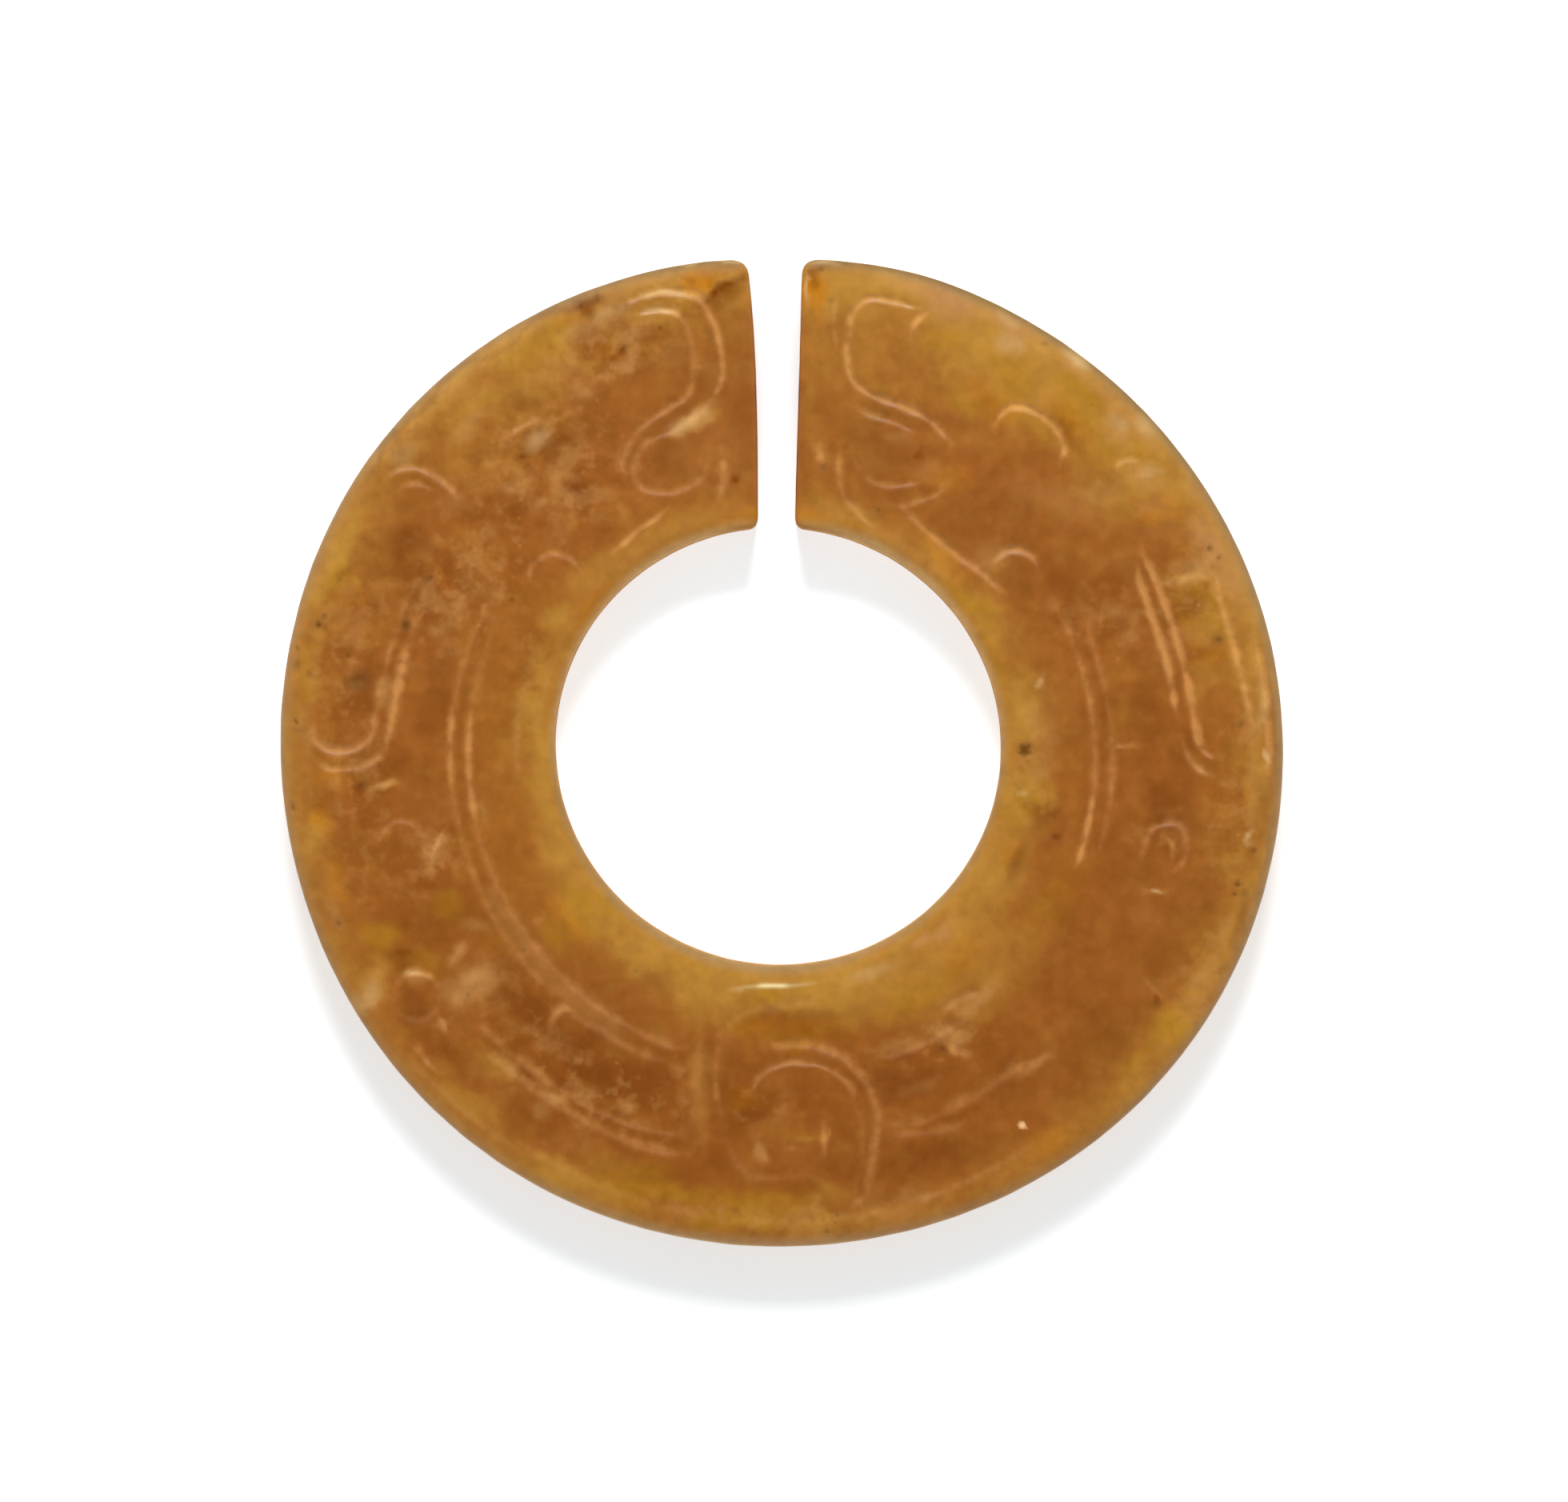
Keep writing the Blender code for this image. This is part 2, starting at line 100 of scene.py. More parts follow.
# Bands that the paired lines follow
INNER_BAND = 15.7
INNER_BAND_OUTER = 16.55
RIGHT_BAND = 19.86
RIGHT_BAND_OUTER = 20.65
LOWER_BAND = 20.1
LOWER_BAND_OUTER = 20.82


class DiscSizes(bpy.types.PropertyGroup):
    """Sizes of the carving and of the wear."""

    line_width: FloatProperty(
        name="Line width", description="Width of an incised line at the face",
        default=0.00046, min=0.0001, unit="LENGTH", precision=5)
    line_depth: FloatProperty(
        name="Line depth", description="Depth of a clear incised line",
        default=0.00011, min=0.0, unit="LENGTH", precision=5)
    unevenness: FloatProperty(
        name="Unevenness", description="How far the polish rises and falls over the face",
        default=0.00004, min=0.0, unit="LENGTH", precision=5)
    fineness: FloatProperty(
        name="Mesh fineness", description="Distance between points of the open face",
        default=0.00027, min=0.0001, unit="LENGTH", precision=5)
    seed: IntProperty(
        name="Seed", description="Changes where the wear and the mottling fall", default=7)


class JadeColours(bpy.types.PropertyGroup):
    """Colours and polish of the stone."""

    russet: FloatVectorProperty(
        name="Russet", description="Body of the stone", subtype="COLOR", min=0, max=1,
        default=(0.35, 0.106, 0.0105))
    # Amber: clear stone, also laid on as the painted glow along the edges
    amber: FloatVectorProperty(
        name="Amber", description="Clear stone towards the edges", subtype="COLOR",
        min=0, max=1, default=(0.56, 0.282, 0.038))
    olive: FloatVectorProperty(
        name="Olive", description="Greenish cloud", subtype="COLOR", min=0, max=1,
        default=(0.44, 0.205, 0.006))
    umber: FloatVectorProperty(
        name="Umber", description="Dark brown cloud", subtype="COLOR", min=0, max=1,
        default=(0.215, 0.052, 0.001))
    rust: FloatVectorProperty(
        name="Rust", description="Red-brown stain", subtype="COLOR", min=0, max=1,
        default=(0.19, 0.042, 0.001))
    orange: FloatVectorProperty(
        name="Orange", description="Clear orange spot", subtype="COLOR", min=0, max=1,
        default=(0.56, 0.2, 0.006))
    # Pale: veins, also laid on as painted highlights and painted light along the edges
    pale: FloatVectorProperty(
        name="Pale vein", description="Pale mineral vein", subtype="COLOR", min=0, max=1,
        default=(0.54, 0.25, 0.066))
    scoured: FloatVectorProperty(
        name="Scoured line", description="Matt stone inside the incised lines",
        subtype="COLOR", min=0, max=1, default=(0.66, 0.3, 0.075))
    speck: FloatVectorProperty(
        name="Speck", description="Dark specks", subtype="COLOR", min=0, max=1,
        default=(0.09, 0.032, 0.001))
    # Worn edge: greyer stone of the edges, laid on in part as painted shade where the bevels
    # face the key light
    worn: FloatVectorProperty(
        name="Worn edge", description="Greyish, scratched stone along the edges",
        subtype="COLOR", min=0, max=1, default=(0.3, 0.205, 0.1))
    # Cream: chips of the edges, and painted light and a painted highlight along them
    cream: FloatVectorProperty(
        name="Cream", description="Pale cream stone of chipped and worn edges",
        subtype="COLOR", min=0, max=1, default=(0.74, 0.5, 0.22))
    # Rim: painted shade, the dark line at the very edge of the rim
    rim: FloatVectorProperty(
        name="Rim", description="Olive-brown skin at the very edge", subtype="COLOR",
        min=0, max=1, default=(0.075, 0.04, 0.008))
    roughness: FloatProperty(
        name="Roughness", description="Roughness of the polish", subtype="FACTOR",
        default=0.38, min=0, max=1)
    translucency: FloatProperty(
        name="Translucency", description="Share of light that passes through the skin",
        subtype="FACTOR", default=0.1, min=0, max=1)


class StudioSettings(bpy.types.PropertyGroup):
    """Floor, lights and camera."""

    floor_colour: FloatVectorProperty(
        name="Floor", description="Colour of the floor", subtype="COLOR", min=0, max=1,
        default=(0.93, 0.93, 0.93))
    floor_glow: FloatProperty(
        name="Floor glow", description="Light given off by the lit table under the paper",
        default=0.42, min=0)
    floor_size: FloatProperty(
        name="Floor size", description="Side of the square floor", default=1.6,
        unit="LENGTH")
    key_power: FloatProperty(
        name="Key power", description="Power of the key light", default=3.4,
        unit="POWER")
    key_elevation: FloatProperty(
        name="Key elevation", description="Height of the key light above the floor",
        default=radians(45), subtype="ANGLE")
    key_size: FloatProperty(
        name="Key size", description="Side of the square key light", default=0.2,
        unit="LENGTH")
    key_distance: FloatProperty(
        name="Key distance", description="Distance of the key light", default=0.7,
        unit="LENGTH")
    horizon_light: FloatProperty(
        name="Horizon light", description="Brightness of the room at the horizon",
        default=1.0)
    room_light: FloatProperty(
        name="Room light", description="Brightness of the white room around the table",
        default=0.95)
    zenith_light: FloatProperty(
        name="Zenith light", description="Brightness of the dark ceiling overhead",
        default=0.05)
    camera_distance: FloatProperty(
        name="Camera distance", description="Height of the camera above the face",
        default=0.6, unit="LENGTH")
    framed_width: FloatProperty(
        name="Framed width", description="Width of table that the picture takes in",
        default=0.07848, unit="LENGTH", precision=4)


# ---------------------------------------------------------------- places and paths


def place(bearing, radius):
    """The point (x, y) at a bearing and radius."""
    turn = np.radians(bearing)
    return np.stack((radius * np.sin(turn), radius * np.cos(turn)), axis=-1)


def eased(share):
    """A share from 0 to 1 that starts and ends smoothly."""
    return share * share * (3 - 2 * share)


def smooth_step(low, high, value):
    """0 below low, 1 above high, and a smooth rise between them."""
    return eased(np.clip((value - low) / (high - low), 0, 1))


def bell(away, width):
    """1 at no distance, and next to nothing at twice the width."""
    return np.exp(-((away / width) ** 2))


def joined(*shares):
    """Shares laid one over another."""
    clear = 1
    for share in shares:
        clear = clear * (1 - share)
    return 1 - clear


def outer_radius(bearing):
    """The outline of the ring at a bearing."""
    radius = OUTER_RADIUS + sum(
        size * np.cos(count * np.radians(bearing - at)) for count, size, at in OUTER_LOBES)
    radius += sum(height * bell(bearing - at, reach) for height, at, reach in RIM_SWELLS)
    from_slit = (bearing - SLIT_WEAR_BEARING + 180) % 360 - 180
    return radius - SLIT_WEAR * bell(from_slit, SLIT_WEAR_REACH)


def hole_radius(bearing):
    """The radius of the hole about its own centre."""
    return HOLE_RADIUS + HOLE_OVAL * np.cos(2 * np.radians(bearing - HOLE_OVAL_BEARING))


def slit_face(part, face):
    """A point on a slit face: part is 0 at the hole and 1 at the rim."""
    at_hole, spread, bend = face
    y = SLIT_INNER_Y + part * (SLIT_OUTER_Y - SLIT_INNER_Y)
    return np.stack((at_hole + spread * part**bend, y), axis=-1)


def even_steps(points, step):
    """The same path with its points an even step apart."""
    lengths = np.concatenate(([0], np.cumsum(np.hypot(*np.diff(points, axis=0).T))))
    wanted = np.linspace(0, lengths[-1], max(2, round(lengths[-1] / step) + 1))
    return np.stack([np.interp(wanted, lengths, column) for column in points.T], axis=-1)


def across(path):
    """The direction across a path at each of its points."""
    along = np.gradient(path, axis=0)
    along /= np.maximum(np.hypot(*along.T), 1e-9)[:, None]
    return np.stack((-along[:, 1], along[:, 0]), axis=-1)


def run(start, end, radius, end_radius=None):
    """A line that follows the ring from one bearing to another."""
    parts = np.linspace(0, 1, max(3, ceil(abs(end - start))))
    last = radius if end_radius is None else end_radius
    return place(start + (end - start) * parts, radius + (last - radius) * parts)


def drawn(*points):
    """A freehand line, bent smoothly through (bearing, radius) points."""
    bearings, radii = np.array(points, float).T
    knots = place(bearings, radii)
    knots = np.vstack((2 * knots[0] - knots[1], knots, 2 * knots[-1] - knots[-2]))
    t = np.linspace(0, 1, 16, endpoint=False)[:, None]
    fine = [
        0.5 * (2 * b + (c - a) * t + (2 * a - 5 * b + 4 * c - d) * t**2
               + (3 * b - a - 3 * c + d) * t**3)
        for a, b, c, d in zip(knots, knots[1:], knots[2:], knots[3:])]
    return np.vstack((*fine, knots[-2:-1]))


def ring(bearing, radius, size, start, end):
    """Part of a circle about a point of the ring, anticlockwise from the right."""
    turns = np.radians(np.linspace(start, end, 40))
    return place(bearing, radius) + size * np.stack((np.cos(turns), np.sin(turns)), -1)


def search_tree(points):
    """A tree that finds the nearest of the plan points."""
    tree = kdtree.KDTree(len(points))
    for number, (x, y) in enumerate(points):
        tree.insert((x, y, 0), number)
    tree.balance()
    return tree


# ---------------------------------------------------------------- the incised ornament
# Each line is (path, depth, brightness, width): shares of a clear line's own.


def right_head():
    """The head to the right of the slit: crest, brow, nostril, eye, cheek, jaw and chin."""
    return [
        (drawn((17.6, 23.3), (14, 23.25), (11, 23.1), (9.5, 22.4), (9.2, 21.2), (9.7, 19.9),
               (11.3, 18.9), (15, 18.4), (20, 18.35), (25, 18.15), (28.8, 17.65)),
         0.9, 0.78, 0.95),
        (drawn((12.2, 17.65), (15, 17.5), (19, 17.5), (23.3, 17.35)), 0.6, 0.35, 1.0),
        (drawn((18.9, 23.35), (17.8, 22.9), (17.3, 22.3), (17.5, 21.6)), 0.8, 1.0, 0.9),
        (drawn((13.2, 15.6), (15, 14.95), (18, 14.45), (21.5, 14.4), (25, 14.8),
               (28.3, 15.3)), 0.45, 0.25, 1.1),
        (drawn((30.6, 16.5), (31.5, 15.8), (31, 15.1), (29, 14.5), (25.5, 13.78)),
         0.45, 0.25, 1.1),
        (drawn((24.4, 13.5), (26.5, 13.75), (29.2, 14.1)), 0.6, 0.55, 1.0),
        (drawn((26.5, 13.7), (31, 13.45), (37, 13.27), (43, 13.28), (47, 13.43)),
         0.8, 0.4, 1.1),
        (drawn((43, 13.28), (48.5, 13.5), (53.8, 13.65)), 0.8, 0.85, 1.1),
        (drawn((11.2, 15.5), (11.7, 14.6), (12.9, 13.7), (15, 13.05), (18.5, 12.6),
               (23.5, 12.1)), 0.6, 0.42, 0.95),
        (drawn((7.2, 15.2), (8.0, 14.6)), 0.6, 1.6, 1.4),
        (drawn((7.0, 23.0), (6.9, 22.2), (7.3, 21.3), (7.9, 20.4)), 0.4, 0.4, 0.8),
    ]


def left_head():
    """The head to the left of the slit, whose crest line runs on around the eye."""
    return [
        (drawn((340.5, 23.8), (343.8, 23.9), (346.5, 23.7), (349.2, 23.35), (350.6, 22.5)),
         1.0, 0.85, 1.15),
        (drawn((349.2, 23.35), (350.6, 22.5), (351.4, 21.2), (351.6, 19.8), (350.8, 18.7),
               (348.8, 18.0)), 0.8, 0.95, 0.85),
        (drawn((350.0, 18.4), (348.8, 18.0), (345.5, 17.4), (341, 17.0), (337, 16.9),
               (334.2, 16.5), (332.4, 15.8), (332.4, 15.0), (334.3, 14.45), (338, 14.1),
               (341.5, 14.1), (344.5, 14.5), (346.3, 15.2)), 0.5, 0.32, 1.15),
        (drawn((341.3, 23.1), (344, 22.98), (346.4, 22.7), (347.6, 22.0)), 0.8, 0.8, 1.0),
        (drawn((346.4, 22.7), (347.6, 22.0), (347.8, 20.9), (347.3, 19.85), (346.6, 19.0),
               (344.6, 18.35), (341, 18.05), (337, 17.7), (333.8, 17.2), (331.4, 16.5),
               (330.7, 15.8)), 0.6, 0.38, 1.0),
        (drawn((348.8, 15.1), (348.3, 14.2), (347.2, 13.5), (345.4, 12.9)), 0.6, 0.45, 1.2),
        (drawn((321, 13.03), (325, 13.12), (329.5, 13.22), (334.8, 13.3)), 0.8, 1.05, 0.75),
    ]


def right_tail():
    """The right half of the body: arcs behind the head, paired lines and a small arch."""
    return [
        (drawn((33.5, 19.6), (33.1, 20.2), (34.2, 20.9), (36.4, 21.25), (39, 21.3),
               (41.4, 21.15), (43, 20.8), (43.9, 20.3)), 1.0, 1.0, 1.0),
        (drawn((48.9, 14.2), (48.2, 14.7), (48.7, 15.3), (50.5, 15.8), (53, 15.95),
               (55, 15.7)), 0.9, 0.9, 1.1),
        (run(61.5, 74, INNER_BAND - 0.1, INNER_BAND - 0.05), 0.25, 0.28, 0.95),
        (run(71, 111.5, INNER_BAND - 0.05, INNER_BAND + 0.2), 0.5, 0.36, 0.95),
        (run(71.5, 75.5, INNER_BAND - 0.05), 0.5, 0.9, 0.95),
        (run(78.5, 84.5, INNER_BAND), 0.5, 0.85, 1.0),
        (run(97.5, 111.5, INNER_BAND + 0.1, INNER_BAND + 0.2), 0.5, 1.15, 0.8),
        (run(68, 106, INNER_BAND_OUTER, INNER_BAND_OUTER + 0.15), 0.5, 0.35, 1.1),
        (run(89, 98, INNER_BAND_OUTER + 0.08, INNER_BAND_OUTER + 0.12), 0.5, 0.65, 1.1),
        (drawn((88.9, 16.35), (89.0, 17.55)), 0.6, 1.1, 1.0),
        (drawn((63, 20.1), (66, RIGHT_BAND), (76, RIGHT_BAND), (84.8, 19.95)),
         0.9, 1.2, 0.95),
        (drawn((88.3, 20.15), (90.3, 20.4), (92, 20.9), (93.3, 21.6)), 0.8, 0.7, 1.05),
        (drawn((61.5, 20.65), (66, RIGHT_BAND_OUTER), (76, RIGHT_BAND_OUTER), (85, 20.77),
               (88.6, 20.98), (90.2, 21.35), (90.9, 21.9)), 1.0, 1.35, 0.95),
        (drawn((65.3, 23.5), (69, 23.42), (76, 23.3), (82.9, 23.48), (86, 23.6)),
         0.8, 0.85, 1.15),
        (run(76, 84, 24.4, 24.48), 0.7, 0.7, 1.1), (run(82, 92.5, 24.46), 0.9, 1.15, 1.1),
        (drawn((66.4, 21.3), (66.6, 22.1), (67.1, 22.8), (68.5, 23.3)), 0.3, 0.2, 1.2),
        (drawn((107, 18.85), (104, 18.8), (101.6, 19.0), (100.2, 19.7), (100.5, 20.4),
               (102.5, 20.8), (105, 20.9), (106.6, 20.65)), 0.6, 0.5, 1.0),
        (drawn((104.9, 20.3), (103.1, 20.1), (102.6, 19.7)), 0.6, 1.2, 0.85),
        (drawn((110.1, 20.4), (110.8, 19.8)), 0.6, 1.0, 0.9),
        (drawn((121.9, 21.4), (122.3, 22.2), (123.3, 22.9)), 0.4, 0.45, 1.0),
        (drawn((50.4, 21.8), (49.6, 22.15), (49.6, 22.55), (50.3, 22.9), (51.4, 23.15)),
         0.4, 0.65, 0.9),
    ]


def lower_right():
    """Band lines from the spiral towards the right, the inner one ending in a barb."""
    return [
        (drawn((163.2, 16.0), (158, 16.2), (152.8, 16.25), (149.2, 16.2), (145.9, 16.4)),
         0.4, 0.32, 1.15),
        (drawn((150.6, 16.75), (149.8, 17.3), (149.1, 17.7)), 0.6, 0.8, 1.3),
        (drawn((148.5, 15.5), (145.8, 15.2), (142.6, 15.3), (138.9, 15.65)), 0.5, 0.45, 1.3),
        (drawn((164.3, 19.5), (158.6, 19.75), (151.4, 19.7), (144.5, 19.65), (141.2, 19.95),
               (138.4, 20.3)), 0.4, 0.3, 1.6),
        (run(164.2, 152.8, 19.85, 20.8), 0.35, 0.25, 1.4),
    ]


def spiral():
    """The square spiral opposite the slit, with a band line beside it."""
    return [
        (drawn((172, 12.75), (178.4, 12.58), (182, 12.66), (186.9, 13.0), (190.1, 13.6),
               (191.3, 14.5), (191.9, 15.6), (190.6, 17.4), (188.8, 18.7), (187.0, 20.0),
               (184.3, 21.1), (181.5, 21.25), (178, 21.1), (175, 20.9)), 0.35, 0.18, 1.4),
        (drawn((191.3, 16.6), (190.6, 17.4), (189.9, 18.0)), 0.4, 0.6, 0.9),
        (drawn((172, 12.65), (176, 12.6), (180, 12.65)), 0.35, 0.25, 1.2),
        (drawn((182.6, 14.72), (176.7, 14.65), (172.4, 14.88), (168.5, 15.55),
               (166.3, 16.4), (165.1, 17.5), (164.9, 18.7), (166.5, 20.2), (168, 21.5),
               (169.1, 22.5), (171, 23.0)), 0.45, 0.46, 1.35),
        (drawn((184.5, 17.1), (183.9, 16.35), (181.5, 15.8), (177.4, 15.55),
               (173.5, 15.75), (170.1, 16.3), (168, 17.2), (168.1, 18.0)), 0.5, 0.42, 0.9),
        (drawn((180.2, 15.66), (177.4, 15.55), (174.6, 15.65)), 0.5, 1.25, 0.95),
        (drawn((168.1, 17.6), (167.6, 18.6), (167.9, 19.6), (168.9, 21), (170.2, 22)),
         0.4, 0.16, 1.1),
        (drawn((173.8, 20.2), (173.4, 18.95)), 0.5, 1.0, 1.1),
        (drawn((181.7, 20.7), (182.3, 20.1), (183.7, 19.4)), 0.5, 0.55, 1.5),
        (drawn((196, 14.7), (194.9, 16.5), (193.9, 18.2), (193.5, 19.3)), 0.3, 0.12, 1.4),
    ]


def lower_left():
    """Band lines from the spiral towards the left, and the ring eye at their end."""
    return [
        (drawn((194.2, 19.85), (201, 20.0), (207, LOWER_BAND), (215, LOWER_BAND),
               (222, 20.15), (229, 20.3)), 0.4, 0.42, 1.35),
        (drawn((193.2, 20.65), (199, 20.85), (206, LOWER_BAND_OUTER), (215, LOWER_BAND_OUTER),
               (226, 20.95)), 0.4, 0.42, 1.4),
        (ring(236.2, 21.9, 1.17, 0, 360), 0.3, 0.14, 1.1),
        # The top arc of the ring eye is painted bright: the highlight on the groove wall that
        # faces the key light
        (ring(236.2, 21.9, 1.17, 40, 140), 0.5, 1.3, 1.0),
        (run(197.5, 294, INNER_BAND - 0.08, INNER_BAND - 0.08), 0.4, 0.23, 1.25),
        (run(257, 278, INNER_BAND - 0.08), 0.5, 0.9, 1.0),
        (drawn((200, 16.5), (208, INNER_BAND_OUTER), (216, 16.6), (219.4, 16.8),
               (220.4, 17.2)), 0.35, 0.25, 1.25),
        (drawn((217.1, 16.55), (219.9, 16.7), (220.6, 17.25), (220.0, 17.9)), 0.5, 0.75, 1.1),
        (run(224, 298, INNER_BAND_OUTER, INNER_BAND_OUTER - 0.05), 0.35, 0.22, 1.1),
        (run(263, 278, INNER_BAND_OUTER - 0.02), 0.5, 0.75, 0.95),
        (drawn((271.7, 16.95), (271.9, 17.5)), 0.5, 0.5, 0.8),
        (drawn((256.9, 20.7), (258.8, 20.25), (259.8, 19.5), (259.1, 18.8), (257.3, 18.6)),
         0.4, 0.25, 1.0),
        (drawn((256.7, 17.3), (254.9, 17.8), (253.4, 18.2)), 0.6, 0.9, 0.75),
        (drawn((231.9, 22.3), (231.3, 21.8), (230.8, 21.4)), 0.5, 0.6, 1.5),
        (run(227.4, 230.2, 23.5), 0.6, 1.15, 1.0),
        (drawn((265.4, 19.15), (265.5, 20.6)), 0.5, 0.4, 1.2),
        (run(160, 215, 23.4), 0.3, 0.12, 1.5),
    ]


def left_tail():
    """The left half of the body: a double hooked line, a hood, a scroll and an ear."""
    return [
        (drawn((273.6, 23.35), (271.8, 23.3), (270.5, 22.8), (270.1, 22.0), (270.7, 21.1),
               (272.4, 20.55), (276, 20.32)), 0.9, 0.75, 1.1),
        (drawn((274, 20.42), (276, 20.35), (282, 20.22), (289, 20.15), (294.5, 20.3)),
         0.45, 0.3, 1.0),
        (drawn((268.9, 23.3), (268.0, 22.6), (267.8, 21.6), (268.3, 20.7), (269.5, 20.05),
               (271.8, 19.65)), 0.6, 0.5, 1.0),
        (drawn((270.6, 19.8), (271.8, 19.65), (275.5, 19.48), (279, 19.45)), 0.6, 0.95, 1.1),
        (run(276.5, 286, 19.46, 19.4), 0.9, 1.7, 1.25),
        (drawn((284, 19.38), (286, 19.38), (292, 19.48), (296.7, 19.75)), 0.5, 0.35, 1.2),
        (drawn((305.0, 23.95), (306.9, 23.72), (308.2, 23.0), (308.8, 22.0), (308.8, 21.2),
               (308.1, 20.6)), 0.75, 0.6, 1.2),
        (drawn((304.4, 23.2), (306.1, 22.85), (306.9, 22.2), (306.9, 21.5)), 0.4, 0.3, 1.0),
        (drawn((324.6, 20.3), (322.5, 20.8), (319.5, 20.95), (317, 20.7)), 0.5, 0.5, 1.1),
        (drawn((319, 20.92), (317, 20.7), (315, 20.0), (314, 19.2), (315, 18.4)),
         0.35, 0.2, 1.1),
        (drawn((304.8, 15.2), (306.4, 15.5), (308.5, 15.5), (310.8, 15.25), (312.3, 14.6),
               (312.8, 13.9), (311.8, 13.3)), 0.5, 0.4, 1.0),
    ]


# The wobble of the tool: how far it strays, over what length, and how finely it is drawn
HAND_SWAY = 0.055
HAND_WAVE = 0.9
HAND_STEP = 0.15


def hand_cut(path, number):
    """The path with the slight wobble of a hand-held tool."""
    path = even_steps(path, HAND_STEP)
    sway = [noise.noise(Vector((step * HAND_STEP / HAND_WAVE, number * 5.1, 3.0)))
            for step in range(len(path))]
    return path + across(path) * (HAND_SWAY * np.array(sway))[:, None]


def incised_lines():
    """Every line of the ornament."""
    parts = (right_head, left_head, right_tail, lower_right, spiral, lower_left, left_tail)
    lines = [line for part in parts for line in part()]
    return [(hand_cut(path, number), *rest) for number, (path, *rest) in enumerate(lines)]


# ---------------------------------------------------------------- stains and flaws
# Soft stains are (x, y, half length, half width, turn, strength). Each table runs
# clockwise from the slit.

# Clear amber stone of the rim, around the hole and beside the spiral
AMBER = (
    (1.6, 16.8, 0.6, 2.6, 0, 0.25), (2.6, 22.8, 1.2, 1.3, 0, 0.5),
    (4.5, 20.0, 3.4, 3.4, 0, 0.24), (6.0, 23.2, 4.0, 1.0, -8, 0.7),
    (3.2, 11.9, 2.0, 0.7, -12, 0.3), (7.8, 20.6, 1.8, 1.6, 0, 0.25),
    (9.0, 18.4, 0.9, 1.4, 0, 0.3), (10.5, 21.2, 3.4, 1.5, -28, 0.65),
    (12.2, 18.9, 4.6, 2.6, -42, 0.55), (7.6, 9.7, 2.0, 0.7, -38, 0.25),
    (15.8, 16.9, 3.0, 1.6, -45, 0.45), (16.3, 12.9, 2.2, 1.4, -45, 0.25),
    (18.3, 14.1, 2.0, 1.5, -40, 0.6), (10.4, 6.5, 1.8, 0.8, -58, 0.4),
    (20.0, 8.9, 1.6, 0.35, 3, 0.75), (22.4, 9.2, 2.4, 0.7, -68, 0.5),
    (21.5, 6.4, 1.2, 0.9, 60, 0.3), (22.4, 5.0, 0.5, 2.0, 12, 0.3),
    (21.2, 3.8, 1.6, 0.7, 80, 0.35), (23.6, 3.9, 2.4, 0.6, 82, 0.35),
    (12.4, 1.5, 2.2, 1.0, 90, 0.6), (24.0, -1.8, 2.4, 0.5, 92, 0.35),
    (12.3, -2.2, 1.8, 1.2, 90, 0.65), (23.5, -6.6, 1.4, 0.5, 75, 0.2),
    (21.5, -11.0, 1.9, 0.8, 62, 0.55), (10.9, -6.2, 2.6, 1.3, 58, 0.55),
    (19.8, -13.7, 1.2, 0.8, 50, 0.5), (18.0, -16.4, 2.4, 0.7, 42, 0.25),
    (8.6, -9.3, 2.2, 1.2, 42, 0.35), (9.6, -11.2, 3.6, 2.4, 42, 0.42),
    (13.2, -20.0, 1.8, 0.7, 38, 0.2), (4.6, -11.9, 3.4, 2.0, 14, 0.5),
    (2.8, -21.8, 1.0, 0.5, 0, 0.3), (2.6, -23.5, 1.8, 0.5, 8, 0.25),
    (0.5, -12.1, 3.6, 0.8, 0, 0.35), (-1.0, -23.2, 3.2, 0.8, 0, 0.4),
    (-3.8, -16.6, 2.9, 0.6, 90, 0.14), (-3.6, -12.0, 2.4, 1.4, -14, 0.6),
    (-8.8, -20.5, 1.6, 0.7, -25, 0.25), (-11.3, -21.2, 3.2, 0.9, -28, 0.5),
    (-7.0, -10.2, 2.2, 1.3, -34, 0.6), (-15.8, -17.5, 2.4, 0.7, -42, 0.35),
    (-14.4, -15.7, 1.5, 0.8, -40, 0.35), (-9.6, -8.2, 1.8, 1.4, -46, 0.5),
    (-20.4, -11.6, 1.3, 0.9, 60, 0.5), (-11.2, -5.0, 2.2, 1.0, -68, 0.55),
    (-23.4, -4.1, 1.2, 0.8, 80, 0.6), (-12.0, -1.0, 2.6, 0.9, 90, 0.55),
    (-19.9, -1.6, 0.8, 0.25, 3, 0.6), (-23.2, 5.0, 3.0, 0.5, 82, 0.35),
    (-12.2, 3.2, 2.2, 0.9, 82, 0.5), (-20.4, 6.0, 0.8, 0.5, 60, 0.2),
    (-21.7, 8.4, 0.7, 0.6, 70, 0.6), (-22.3, 9.7, 2.3, 0.7, 66, 0.75),
    (-11.2, 6.6, 0.9, 0.6, 60, 0.6), (-9.6, 8.6, 2.0, 0.8, 42, 0.25),
    (-16.6, 18.2, 2.4, 0.9, 42, 0.5), (-15.1, 17.2, 1.6, 0.6, 40, 0.5),
    (-13.4, 15.8, 3.6, 2.2, 45, 0.3), (-13.6, 20.4, 1.8, 1.0, 30, 0.7),
    (-12.0, 19.0, 1.4, 1.0, 0, 0.4), (-6.0, 11.0, 2.4, 0.8, 25, 0.25),
    (-11.0, 20.5, 1.6, 0.8, 85, 0.75), (-9.6, 19.6, 1.0, 0.6, 20, 0.3),
    (-7.5, 22.9, 2.0, 0.6, 15, 0.4), (-6.4, 21.7, 1.3, 0.5, 10, 0.35),
    (-4.5, 16.1, 1.3, 0.5, 22, 0.7), (-5.5, 23.0, 1.4, 0.35, 3, 0.6),
    (-3.6, 23.9, 2.0, 0.7, 8, 0.75), (-2.4, 22.9, 1.0, 1.2, 80, 0.35),
)

